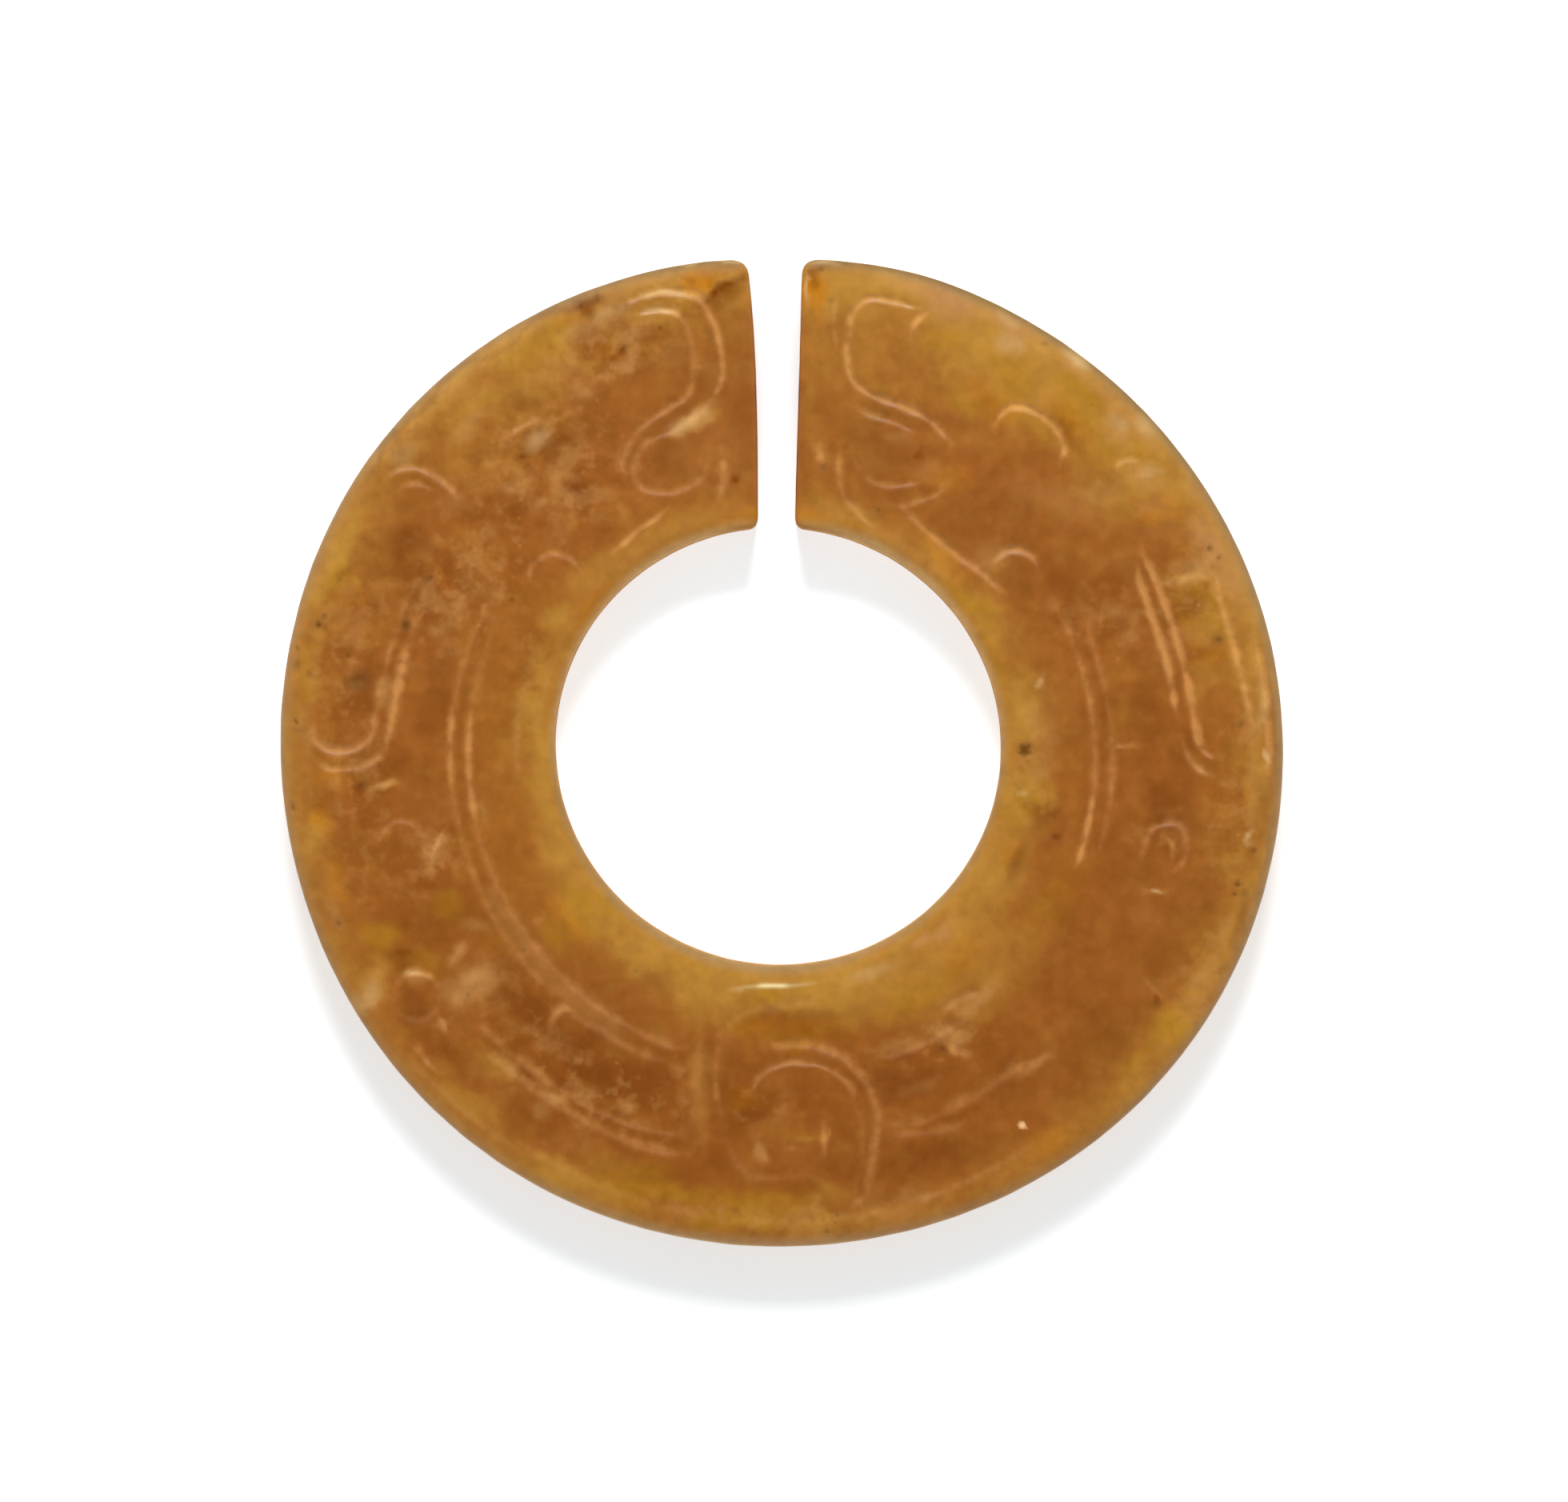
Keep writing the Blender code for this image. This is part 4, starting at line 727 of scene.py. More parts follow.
# Pale veins and scratches
PALE = (
    (2.2, 24.4, 0.9, 0.3, 5, 0.7), (6.6, 23.3, 1.0, 0.5, -15, 0.4),
    (8.2, 22.3, 1.7, 0.9, -20, 0.8), (5.9, 15.6, 0.9, 0.4, 0, 0.25),
    (9.5, 21.3, 1.2, 0.7, -30, 0.25), (11.4, 21.2, 1.1, 0.6, -40, 0.45),
    (7.6, 14.0, 0.9, 0.5, 0, 0.25), (11.5, 20.8, 0.8, 0.5, -40, 0.35),
    (11.4, 20.1, 0.9, 0.7, -30, 0.4), (8.3, 13.7, 1.3, 0.7, 0, 0.1),
    (13.2, 19.4, 1.0, 0.6, -40, 0.2), (13.4, 17.3, 1.2, 0.7, -40, 0.25),
    (14.8, 19.0, 0.7, 0.4, -20, 0.4), (8.1, 9.8, 1.4, 0.5, -42, 0.15),
    (17.1, 17.0, 0.9, 0.6, -20, 0.3), (16.8, 16.2, 0.9, 0.7, -60, 0.5),
    (10.6, 9.8, 0.9, 0.7, 0, 0.35), (13.8, 12.4, 2.4, 1.0, -20, 0.22),
    (18.2, 16.3, 0.3, 0.25, 0, 0.5), (18.1, 14.3, 0.9, 0.5, 0, 0.35),
    (18.6, 13.9, 0.9, 0.6, -20, 0.4), (18.3, 12.5, 1.2, 0.8, 0, 0.2),
    (18.7, 12.3, 1.0, 0.6, 0, 0.35), (13.6, 7.3, 0.5, 0.4, 0, 0.3),
    (21.2, 10.6, 0.8, 1.6, 25, 0.95), (19.3, 8.6, 0.6, 0.25, 0, 0.5),
    (20.3, 8.75, 1.3, 0.3, 8, 0.5), (16.9, 7.0, 0.6, 0.5, 0, 0.4),
    (22.4, 8.8, 0.7, 1.7, 20, 0.7), (17.4, 6.6, 0.7, 0.5, 0, 0.4),
    (17.4, 5.6, 0.5, 0.4, 0, 0.3), (13.2, 3.2, 0.2, 0.3, 0, 0.6), (12.7, 1.0, 0.5, 1.2, 0, 0.3),
    (13.6, 0.6, 0.6, 1.4, 0, 0.25), (23.4, -3.9, 0.5, 0.16, 80, 0.7),
    (22.0, -9.4, 1.0, 0.4, 66, 0.3), (18.3, -8.4, 1.0, 0.9, 0, 0.15),
    (21.2, -11.3, 1.2, 0.35, 60, 0.35), (7.9, -9.1, 1.1, 0.4, 38, 0.85),
    (10.3, -12.0, 0.8, 0.4, 40, 0.55), (12.6, -15.6, 1.0, 0.35, 25, 0.4),
    (9.9, -12.4, 0.9, 0.4, 30, 0.4), (9.3, -13.0, 0.9, 0.45, 50, 0.45),
    (8.7, -14.4, 0.6, 0.35, 30, 0.5), (9.0, -15.0, 0.3, 0.3, 0, 0.5),
    (8.3, -14.1, 0.8, 0.5, -25, 0.75), (7.0, -16.9, 1.2, 0.4, 10, 0.25),
    (6.0, -14.8, 1.8, 0.3, 17, 0.45), (6.8, -22.3, 1.2, 0.3, 10, 0.3),
    (2.3, -19.0, 0.1, 0.4, 0, 0.45), (1.0, -19.3, 0.8, 0.12, 5, 0.3),
    (0.6, -19.95, 0.4, 0.15, 20, 0.5), (-0.9, -20.3, 0.28, 0.6, 15, 0.6),
    (-3.9, -16.8, 2.8, 0.55, 90, 0.2), (-4.9, -17.4, 0.4, 0.4, 0, 0.4),
    (-5.0, -16.2, 0.5, 0.35, 30, 0.45), (-7.8, -18.0, 0.5, 0.35, 0, 0.6),
    (-9.8, -17.1, 0.6, 0.35, 20, 0.6), (-11.4, -17.6, 0.7, 0.35, -25, 0.75),
    (-12.1, -18.1, 0.7, 0.4, -30, 0.5), (-13.6, -16.0, 0.6, 0.5, -40, 0.4),
    (-14.6, -11.8, 0.8, 0.5, 40, 0.3), (-16.9, -13.6, 0.22, 0.4, 10, 0.75),
    (-14.9, -11.7, 0.9, 0.7, 50, 0.5), (-15.7, -12.2, 0.7, 0.7, 0, 0.6),
    (-15.3, -11.7, 1.3, 0.8, 55, 0.75), (-14.6, -11.1, 0.6, 0.4, 40, 0.3),
    (-14.9, -11.2, 0.7, 0.5, 0, 0.6), (-12.1, -8.8, 0.4, 0.3, -40, 0.4),
    (-16.3, -11.4, 0.5, 0.5, 0, 0.35), (-18.1, -11.3, 0.7, 0.2, 0, 0.4),
    (-16.2, -10.1, 0.5, 0.4, 40, 0.85), (-20.4, -11.9, 0.4, 1.0, 0, 0.6),
    (-15.4, -8.8, 0.8, 0.4, 0, 0.35), (-22.5, -8.2, 0.5, 0.9, 20, 0.4),
    (-17.3, -6.2, 0.3, 0.4, 0, 0.4), (-17.4, -5.4, 0.5, 0.4, 40, 0.6),
    (-17.0, -4.5, 0.3, 0.5, -20, 0.6), (-19.9, -1.6, 0.75, 0.2, 3, 0.6),
    (-23.9, 1.5, 0.4, 1.2, 0, 0.4), (-19.7, 2.8, 0.5, 0.8, 0, 0.45),
    (-19.8, 3.2, 0.5, 0.6, 0, 0.45), (-17.3, 6.0, 0.4, 0.4, 0, 0.4),
    (-21.7, 8.0, 0.5, 0.8, 20, 0.3), (-12.3, 5.0, 0.15, 0.3, 0, 0.6),
    (-16.1, 7.4, 0.9, 0.3, 55, 0.45), (-14.9, 8.0, 0.4, 0.7, -30, 0.4),
    (-15.6, 8.6, 0.6, 0.5, 0, 0.35), (-15.4, 9.4, 0.9, 0.4, -30, 0.5),
    (-13.9, 9.4, 0.3, 0.3, 0, 0.6), (-16.4, 12.1, 1.0, 0.6, 0, 0.35),
    (-13.4, 13.3, 1.0, 0.5, 30, 0.5), (-12.4, 12.4, 0.5, 0.7, 0, 0.4),
    (-15.6, 16.0, 0.8, 0.5, 40, 0.4), (-15.4, 16.2, 1.1, 0.6, 40, 0.3),
    (-15.0, 16.7, 0.8, 0.3, 30, 0.5), (-11.3, 13.2, 0.4, 1.4, 0, 0.5),
    (-12.0, 15.8, 0.9, 0.5, 30, 0.4), (-10.3, 13.7, 0.6, 0.3, 0, 0.4),
    (-12.1, 16.6, 0.35, 0.15, 0, 0.8), (-10.6, 14.9, 0.7, 0.5, 0, 0.3),
    (-6.4, 10.0, 2.6, 0.5, 33, 0.15), (-9.7, 17.9, 0.9, 0.7, 0, 0.4),
    (-8.3, 19.1, 1.3, 0.35, 25, 0.4), (-9.2, 21.3, 0.8, 0.4, 40, 0.3),
    (-8.3, 21.1, 0.7, 0.25, 30, 0.4), (-8.0, 22.2, 1.0, 0.4, 15, 0.35),
    (-7.3, 20.9, 1.0, 0.4, 20, 0.4), (-7.1, 20.4, 0.25, 0.6, 0, 0.4),
    (-4.7, 16.1, 1.2, 0.45, 22, 0.7), (-3.6, 15.3, 2.2, 2.0, 0, 0.12),
    (-3.9, 16.9, 0.6, 0.3, 25, 0.25), (-2.9, 14.3, 0.25, 0.35, 0, 0.6),
    (-3.9, 19.4, 0.3, 0.12, 0, 0.5), (-3.2, 24.6, 1.2, 0.25, 3, 0.6),
)

# Chipped and worn places of the edges, and a painted highlight along the right face of the slit
CREAM = (
    (1.35, 23.2, 0.1, 0.8, 0, 0.35), (2.3, 24.5, 0.8, 0.16, -4, 0.75),
    (11.4, 21.5, 0.6, 0.35, -35, 0.25), (11.4, 20.3, 0.8, 0.6, 0, 0.3),
    (14.8, 19.8, 0.9, 0.5, -38, 0.35), (15.0, 19.4, 0.7, 0.35, -40, 0.45),
    (17.0, 16.5, 0.6, 0.4, -50, 0.3), (18.3, 16.3, 0.8, 0.5, -45, 0.3),
    (15.8, 13.0, 1.4, 0.7, 0, 0.06), (18.6, 14.1, 0.5, 0.3, 0, 0.25),
    (20.6, 9.3, 1.0, 0.7, 0, 0.15), (13.1, 3.2, 0.2, 0.14, 90, 0.4),
    (24.1, 2.0, 1.6, 0.35, 86, 0.2), (24.35, -0.2, 0.35, 0.09, 88, 0.6),
    (11.55, -0.25, 0.25, 0.09, 0, 0.6), (12.1, -2.1, 0.25, 0.09, 0, 0.6),
    (23.3, -4.2, 0.45, 0.1, 80, 0.55), (18.85, -7.05, 0.3, 0.1, 0, 0.5),
    (4.6, -11.2, 1.4, 0.35, 22, 0.25), (-18.2, -11.1, 0.5, 0.09, 0, 0.6),
    (-20.8, -12.2, 0.8, 0.6, 60, 0.3), (-18.8, 14.8, 0.9, 0.6, 45, 0.15),
    (-12.1, 15.4, 0.8, 0.5, 30, 0.3), (-10.1, 21.0, 0.8, 0.7, 0, 0.15),
    (-8.6, 21.9, 1.2, 0.5, 20, 0.25), (-4.7, 16.3, 1.2, 0.5, 22, 0.3),
    (-6.1, 22.0, 0.9, 0.1, 6, 0.5), (-6.0, 22.97, 1.3, 0.11, 0, 0.6),
    (-4.6, 24.35, 1.4, 0.1, 8, 0.4), (-2.6, 24.55, 0.8, 0.14, 2, 0.7),
)

# Where the stone is mottled with light and dark spots
MOTTLED = (
    (17.2, 15.8, 3.0, 2.2, -45, 0.3), (16.2, 6.4, 3.0, 2.2, 0, 0.5),
    (20.4, 8.0, 3.6, 2.2, 90, 0.6), (22.8, -2.5, 5.0, 1.4, 88, 0.6),
    (12.6, -1.6, 2.4, 1.2, 85, 0.6), (18.6, -4.0, 2.0, 1.6, 0, 0.3),
    (21.2, -11.4, 3.0, 1.6, 60, 0.5), (8.8, -14.4, 3.2, 1.6, 20, 0.5),
    (0.0, -23.4, 12.0, 1.2, 0, 0.4), (-1.0, -18.0, 2.2, 2.0, 0, 0.35),
    (-5.0, -16.6, 2.2, 0.9, 90, 0.35), (-10.0, -16.6, 5.0, 2.2, -30, 0.7),
    (-13.4, -12.6, 3.6, 2.2, -30, 0.3), (-17.2, -5.4, 2.4, 1.6, 70, 0.7),
    (-21.0, -3.0, 5.0, 2.5, 90, 0.5), (-21.5, 4.5, 6.0, 2.4, 85, 0.6),
    (-12.4, 3.5, 3.6, 1.0, 85, 0.5), (-15.8, 8.4, 4.6, 3.0, 55, 0.85),
    (-18.2, 16.2, 3.0, 1.4, 45, 0.4), (-11.5, 14.0, 4.6, 3.8, 0, 0.85),
    (-8.5, 20.0, 3.6, 2.2, 20, 0.8), (-5.5, 22.8, 4.0, 1.2, 12, 0.6),
)


def streaks():
    """Long scratches and painted highlights along the edges: (path, half width, strength)."""
    return [
        (run(263, 292, 13.2), 0.14, 0.4),
        (run(298, 303, 11.7), 0.16, 0.5),
        (run(135, 141, 12.5), 0.16, 0.5),
        (run(140, 149, 11.8), 0.18, 0.6),
        (run(66, 100, 23.0, 23.9), 0.18, 0.25),
        (run(262, 285, 23.6), 0.16, 0.2),
        (run(20, 45, 11.9), 0.2, 0.3),
        (run(255, 262, 15.2), 0.12, 0.5),
        (run(12, 34, 24.1, 24.4), 0.35, 0.4),
        (run(208, 246, 16.1), 0.5, 0.32),
        (run(231, 213, 24.15, 23.85), 0.13, 0.4),
        (run(162.6, 146, 23.5, 23.4), 0.13, 0.45),
        (run(35, 44, 24.2), 0.4, 0.4),
        (run(48, 53, 24.1), 0.4, 0.35),
        (run(56, 60, 24.3), 0.35, 0.4),
        (run(349, 356.5, 24.3), 0.16, 0.6),
    ]


# Dark specks in shallow pits: (x, y, radius, strength)
SPECKS = (
    (12.02, 0.2, 0.17, 0.9), (12.02, -0.08, 0.17, 0.9), (12.42, 0.2, 0.17, 0.9),
    (12.42, -0.08, 0.17, 0.9), (12.2, 0.03, 0.36, 0.8), (-21.1, 3.6, 0.55, 0.6),
    (-21.0, 3.5, 0.25, 0.5), (-23.1, 6.35, 0.2, 0.9), (-22.8, 6.8, 0.15, 0.6),
    (-24.2, 4.3, 0.17, 0.75), (-24.15, 5.15, 0.13, 0.6), (-23.6, 3.85, 0.2, 0.45),
    (-18.7, 6.3, 0.22, 0.75), (-17.5, 8.6, 0.14, 0.6), (-16.4, 5.0, 0.14, 0.45),
    (-24.2, 1.5, 0.12, 0.75), (-24.15, 1.1, 0.12, 0.6), (-22.05, 8.65, 0.15, 0.45),
    (-22.2, -8.6, 0.17, 0.6), (-24.4, -2.7, 0.17, 0.75), (-21.0, -1.6, 0.16, 0.6),
    (1.55, 22.0, 0.17, 0.25), (2.1, 24.1, 0.14, 0.6), (2.5, 22.5, 0.2, 0.25),
    (-18.4, -13.4, 0.2, 0.2), (23.1, 1.3, 0.2, 0.45), (21.9, 5.6, 0.2, 0.6),
    (21.4, 10.2, 0.15, 0.75), (21.9, 9.7, 0.15, 0.75), (22.9, -6.7, 0.14, 0.9),
    (23.3, -7.1, 0.14, 0.9), (22.8, -7.2, 0.1, 0.75), (23.6, -4.9, 0.15, 0.75),
    (18.8, -12.7, 0.17, 0.35), (13.7, -4.4, 0.2, 0.25), (8.1, -14.9, 0.2, 0.45),
    (2.9, -23.2, 0.12, 0.6), (-1.4, -24.1, 0.14, 0.6), (-7.2, -11.0, 0.08, 0.45),
    (9.6, 23.2, 0.12, 0.75), (8.6, 23.3, 0.1, 0.6), (13.2, 20.4, 0.1, 0.6),
    (-10.1, 22.3, 0.14, 0.6), (-9.3, 22.8, 0.17, 0.6), (-7.75, 20.25, 0.15, 0.45),
    (-12.9, -10.0, 0.1, 0.45), (2.0, 14.3, 0.15, 0.6), (7.3, 15.1, 0.17, 0.25),
    (4.9, 12.1, 0.13, 0.6),
)
# Depth of the pit of a full-strength speck
PIT_DEPTH = 0.025
# A painted highlight, a small glint of light on the face: x, y and radius
GLINT = (12.1, -18.72, 0.17)
# The painted highlight, a long glint at the foot of the hole: middle bearing, radius and half
# length
EDGE_GLINT = (181.8, 11.74, 4.2)


# How far a soft stain fades out past its size, and how much of its middle is even
SOFT_EDGE = 1.4
SOFT_CORE = 1.2


def soft_spots(points, warp, spots):
    """How strongly each point is stained: soft ovals, bent by the warp and joined."""
    clear = np.ones(len(points))
    at = points + warp
    for x, y, length, width, turn, strength in spots:
        away = at - (x, y)
        c, s = cos(radians(turn)), sin(radians(turn))
        along = (away[:, 0] * c + away[:, 1] * s) / (length * SOFT_EDGE)
        beside = (away[:, 1] * c - away[:, 0] * s) / (width * SOFT_EDGE)
        inside = np.clip(SOFT_CORE * (1 - np.hypot(along, beside)), 0, 1)
        clear *= 1 - strength * eased(inside)
    return 1 - clear


def noise_field(points, size, seed, octaves=3):
    """Smooth noise, about -1 to 1, whose features are about size across."""
    z = seed * 17.31
    return np.array([
        noise.fractal(Vector((x / size, y / size, z)), 0.8, 2.1, octaves)
        for x, y in points.tolist()])


class Cuts:
    """The incised lines as close samples that a point can be measured against."""

    # Step between samples, gap across which a line's ends still meet, and fade at its ends
    SAMPLE = 0.04
    CLOSED_GAP = 0.2
    FADE = 0.8
    # Waves along a line as (length, step from line to line, seed): worn, patchy, and sparks of
    # painted highlight
    WAVES = ((2.6, 7.3, 0), (1.1, 3.7, 40), (0.45, 9.1, 80))
    # How far a line is felt, half width of its pale middle, and the shoulder beside it where
    # painted shade lies
    REACH = 0.78
    PALE_WIDTH = 0.18
    SHOULDER = 0.38
    SHOULDER_WIDTH = 0.12
    # Two lines closer than this leave a darker raised strip between them
    PAIR_GAP = 1.15

    def __init__(self, lines, half_width, seed):
        self.half_width = half_width
        samples, facts = [], []
        for number, (path, depth, bright, width) in enumerate(lines):
            path = even_steps(path, self.SAMPLE)
            closed = hypot(*(path[0] - path[-1])) < self.CLOSED_GAP
            steps = np.arange(len(path)) * self.SAMPLE
            ends = np.minimum(steps, steps[::-1])
            fade = np.ones(len(path)) if closed else np.clip(ends / self.FADE, 0, 1)
            for (x, y), step, share in zip(path.tolist(), steps, eased(fade)):
                worn, patchy, spark = (
                    noise.noise(Vector((step / length, number * apart, seed + more)))
                    for length, apart, more in self.WAVES)
                broken = 0.85 + 0.9 * patchy + 0.4 * worn + 0.7 * spark
                samples.append((x, y))
                facts.append((
                    number, depth * share * (1 + 0.3 * worn),
                    bright * (0.3 + 0.7 * share) * min(1.3, max(0.05, broken)),
                    width * (0.75 + 0.25 * share) * (1 + 0.3 * patchy)))
        self.samples = np.array(samples)
        self.facts = np.array(facts)
        self.tree = search_tree(samples)

    def measure(self, points):
        """Depth share, brightness, and share of the darker strip between paired lines with
        painted shade beside every line, at each point.
        """
        depth, bright, ridge_and_groove_shade, beside = np.zeros((4, len(points)))
        for i, (x, y) in enumerate(points.tolist()):
            nearest = {}
            for _, index, distance in self.tree.find_range((x, y, 0), self.REACH):
                number = self.facts[index, 0]
                if number not in nearest or distance < nearest[number][0]:
                    nearest[number] = (distance, index)
            for distance, index in nearest.values():
                _, cut, tone, width = self.facts[index]
                share = distance / (self.half_width * width)
                if share < 1:
                    depth[i] = max(depth[i], cut * (1 - share * share) ** 1.5)
                bright[i] = max(
                    bright[i], tone * exp(-((distance / (self.PALE_WIDTH * width)) ** 2)))
                # Painted shade: a dark band beside every line, on the shoulder of its groove
                gap = (distance / width - self.SHOULDER) / self.SHOULDER_WIDTH
                beside[i] = max(beside[i], min(1, tone) * exp(-gap * gap))
            if len(nearest) > 1:
                (near, a), (far, b) = sorted(nearest.values())[:2]
                to_a = self.samples[a] - (x, y)
                to_b = self.samples[b] - (x, y)
                opposed = -float(to_a @ to_b) / max(1e-6, near * far)
                if opposed > 0.6 and near + far < self.PAIR_GAP:
                    ridge_and_groove_shade[i] = (opposed - 0.6) / 0.4 * min(1, near / 0.3)
        return depth, bright, np.maximum(ridge_and_groove_shade, 0.6 * beside)


# ---------------------------------------------------------------- outline and edges
# Points round each corner of the slit, and how far its outer tips are worn down
CORNER_STEPS = 5
CORNER_DROP = 0.03


def bent_corner(before, tip, after):
    """A rounded corner between two points on either side of its tip."""
    t = (np.arange(CORNER_STEPS) + 1)[:, None] / (CORNER_STEPS + 1)
    return (1 - t) ** 2 * before + 2 * t * (1 - t) * tip + t * t * after


def outline(step):
    """The plan outline, clockwise, as points and their edge roundings."""
    right_tip = slit_face(1.0, SLIT_RIGHT)[0]
    left_tip = slit_face(1.0, SLIT_LEFT)[0]
    rim_low = degrees((right_tip + OUTER_CORNER) / outer_radius(0.0))
    rim_high = 360 + degrees((left_tip - OUTER_CORNER) / outer_radius(0.0))
    bearings = np.linspace(rim_low, rim_high, round(2 * pi * OUTER_RADIUS / step))
    rim = place(bearings, outer_radius(bearings))

    length = SLIT_OUTER_Y - SLIT_INNER_Y
    parts = np.linspace(
        HOLE_CORNER / length, 1 - OUTER_CORNER / length, round(length / step))
    right_face = slit_face(parts, SLIT_RIGHT)
    left_face = slit_face(parts[::-1], SLIT_LEFT)

    hole_low = degrees((SLIT_RIGHT[0] + HOLE_CORNER - HOLE_CENTRE[0]) / HOLE_RADIUS)
    hole_high = 360 + degrees((SLIT_LEFT[0] - HOLE_CORNER - HOLE_CENTRE[0]) / HOLE_RADIUS)
    bearings = np.linspace(hole_high, hole_low, round(2 * pi * HOLE_RADIUS / step))
    hole = place(bearings, hole_radius(bearings)) + HOLE_CENTRE

    outer_y = outer_radius(0.0) - CORNER_DROP
    hole_y = HOLE_RADIUS - HOLE_OVAL + HOLE_CENTRE[1]
    stretches = (
        (rim, RIM_ROUND),
        (bent_corner(rim[-1], (left_tip, outer_y), left_face[0]), SLIT_ROUND),
        (left_face, SLIT_ROUND),
        (bent_corner(left_face[-1], (SLIT_LEFT[0], hole_y), hole[0]), SLIT_ROUND),
        (hole, HOLE_ROUND),
        (bent_corner(hole[-1], (SLIT_RIGHT[0], hole_y), right_face[0]), SLIT_ROUND),
        (right_face, SLIT_ROUND),
        (bent_corner(right_face[-1], (right_tip, outer_y), rim[0]), SLIT_ROUND),
    )
    roundings = []
    for part, rounding in stretches:
        away = np.minimum(np.hypot(*(part - part[0]).T), np.hypot(*(part - part[-1]).T))
        share = eased(np.clip(away / ROUND_FADE, 0, 1))[:, None]
        roundings.append(SLIT_ROUND + (rounding - SLIT_ROUND) * share)
    return np.vstack([part for part, _ in stretches]), np.vstack(roundings)


def inward_normals(points):
    """The unit normal into the stone at each point of the clockwise outline."""
    along = np.roll(points, -1, axis=0) - np.roll(points, 1, axis=0)
    along /= np.hypot(*along.T)[:, None]
    return np.stack((along[:, 1], -along[:, 0]), axis=-1)


# ---------------------------------------------------------------- the carved mesh
# Steps along the outline, and rings of points up the back edge, the wall and the top edge
OUTLINE_STEP = 0.24
BACK_STEPS = 5
WALL_STEPS = 6
TOP_STEPS = 9
# How far the face lies below the solid's top, and how uneven the ground wall and back are
TOP_GAP = 0.002
WALL_GRIND = 0.03
BACK_GRIND = 0.02
# Rows of points on and beside a line, with their steps along the near and the far rows
LINE_ROWS = (0.0, 0.085, -0.085, 0.17, -0.17, 0.26, -0.26, 0.4, -0.4)
FAR_ROW = 0.3
NEAR_STEP = 0.13
FAR_STEP = 0.2
GLINT_ROWS = (0.0, -0.08, 0.08, -0.17, 0.17, 0.3)
GLINT_STEP = 0.12
# Closest spacing of the fine points, and what the open grids keep clear of
FINE_SPACING = 0.075
LINE_CLEAR = 0.5
EDGE_CLEAR = 0.07
BACK_SPACING = 0.9
BACK_CLEAR = 0.35
# The grids reach over a square of this half width, in rows as high as a triangle
HALF_SPAN = 26
ROW_HEIGHT = 0.866


def thinned(points, spacing, taken):
    """The points that keep their distance from those already taken."""
    kept = []
    for x, y in points:
        i, j = int(x // spacing), int(y // spacing)
        near = (
            other for a in (i - 1, i, i + 1) for b in (j - 1, j, j + 1)
            for other in taken.get((a, b), ()))
        if all((x - u) ** 2 + (y - v) ** 2 >= spacing * spacing for u, v in near):
            taken.setdefault((i, j), []).append((x, y))
            kept.append((x, y))
    return kept


def line_rows(lines):
    """Rows of points along and beside each incised line."""
    rows = []
    for offset in LINE_ROWS:
        step = NEAR_STEP if abs(offset) < FAR_ROW else FAR_STEP
        for path, *_, width in lines:
            path = even_steps(path, step)
            rows += (path + across(path) * offset * (0.5 + 0.5 * width)).tolist()
    return rows


def pit_points(x, y, radius):
    """A point and three rings about it, for a small pit or glint."""
    turns = np.linspace(0, 2 * pi, 10, endpoint=False)
    return [(x, y)] + [
        (x + radius * share * cos(turn), y + radius * share * sin(turn))
        for share in (0.4, 0.8, 1.2) for turn in turns]


def face_points(border, lines, cuts, spacing):
    """Plan points inside the border: the lines, the flaws, then the open face."""
    taken = {}
    thinned(border, FINE_SPACING, taken)
    points = thinned(line_rows(lines), FINE_SPACING, taken)
    for x, y, radius in (*(speck[:3] for speck in SPECKS), GLINT):
        points += thinned(pit_points(x, y, radius), FINE_SPACING, taken)
    at, arc, width = EDGE_GLINT
    for offset in GLINT_ROWS:
        path = run(at - 2.4 * width, at + 2.4 * width, arc + offset)
        points += thinned(even_steps(path, GLINT_STEP).tolist(), FINE_SPACING, taken)
    row_height = spacing * ROW_HEIGHT
    rows = int(HALF_SPAN / row_height)
    for row in range(-rows, rows + 1):
        y = row * row_height
        start = -HALF_SPAN + (spacing / 2 if row % 2 else 0)
        for column in range(int(2 * HALF_SPAN / spacing)):
            x = start + column * spacing
            radius = hypot(x, y)
            if not HOLE_RADIUS - 1 < radius < OUTER_RADIUS + 0.5:
                continue
            on_glint = abs(radius - arc) < 0.4 and abs(x) < 2.0 and y < 0
            if cuts.tree.find((x, y, 0))[2] > LINE_CLEAR and not on_glint:
                points.append((x, y))
    edge = search_tree(border)
    return [(x, y) for x, y in points if edge.find((x, y, 0))[2] > EDGE_CLEAR]


def back_grid(border):
    """An open grid of plan points for the back, clear of its border."""
    edge = search_tree(border)
    grid = [
        (x + (BACK_SPACING / 2 if row % 2 else 0), row * BACK_SPACING * ROW_HEIGHT)
        for row in range(-32, 33)
        for x in np.arange(-HALF_SPAN, HALF_SPAN, BACK_SPACING)]
    return [(x, y) for x, y in grid if edge.find((x, y, 0))[2] > BACK_CLEAR]


def relief(points, cuts, sizes):
    """How far the face lies below its highest level at each point, with its line shares."""
    depth, bright, ridge_and_groove_shade = cuts.measure(points)
    swell = noise_field(points, 4.5, sizes.seed, 2)
    ripple = noise_field(points, 1.3, sizes.seed + 1, 2)
    dip = sizes.unevenness / MM * (0.6 + 0.5 * swell + 0.18 * ripple)
    dip = np.clip(dip, 0, None) + depth * sizes.line_depth / MM
    for x, y, radius, strength in SPECKS:
        share = np.clip(1 - (np.hypot(*(points - (x, y)).T) / (radius * 1.2)) ** 2, 0, 1)
        dip += PIT_DEPTH * strength * share
    return dip, bright, ridge_and_groove_shade


def ring_faces(count, rings):
    """Quads between closed rings of points that are stored one after another."""
    low = np.arange(count)
    high = np.roll(low, -1)
    return [
        quad for r in range(rings - 1)
        for quad in np.stack(
            (high + r * count, low + r * count, low + (r + 1) * count,
             high + (r + 1) * count), axis=-1).tolist()]


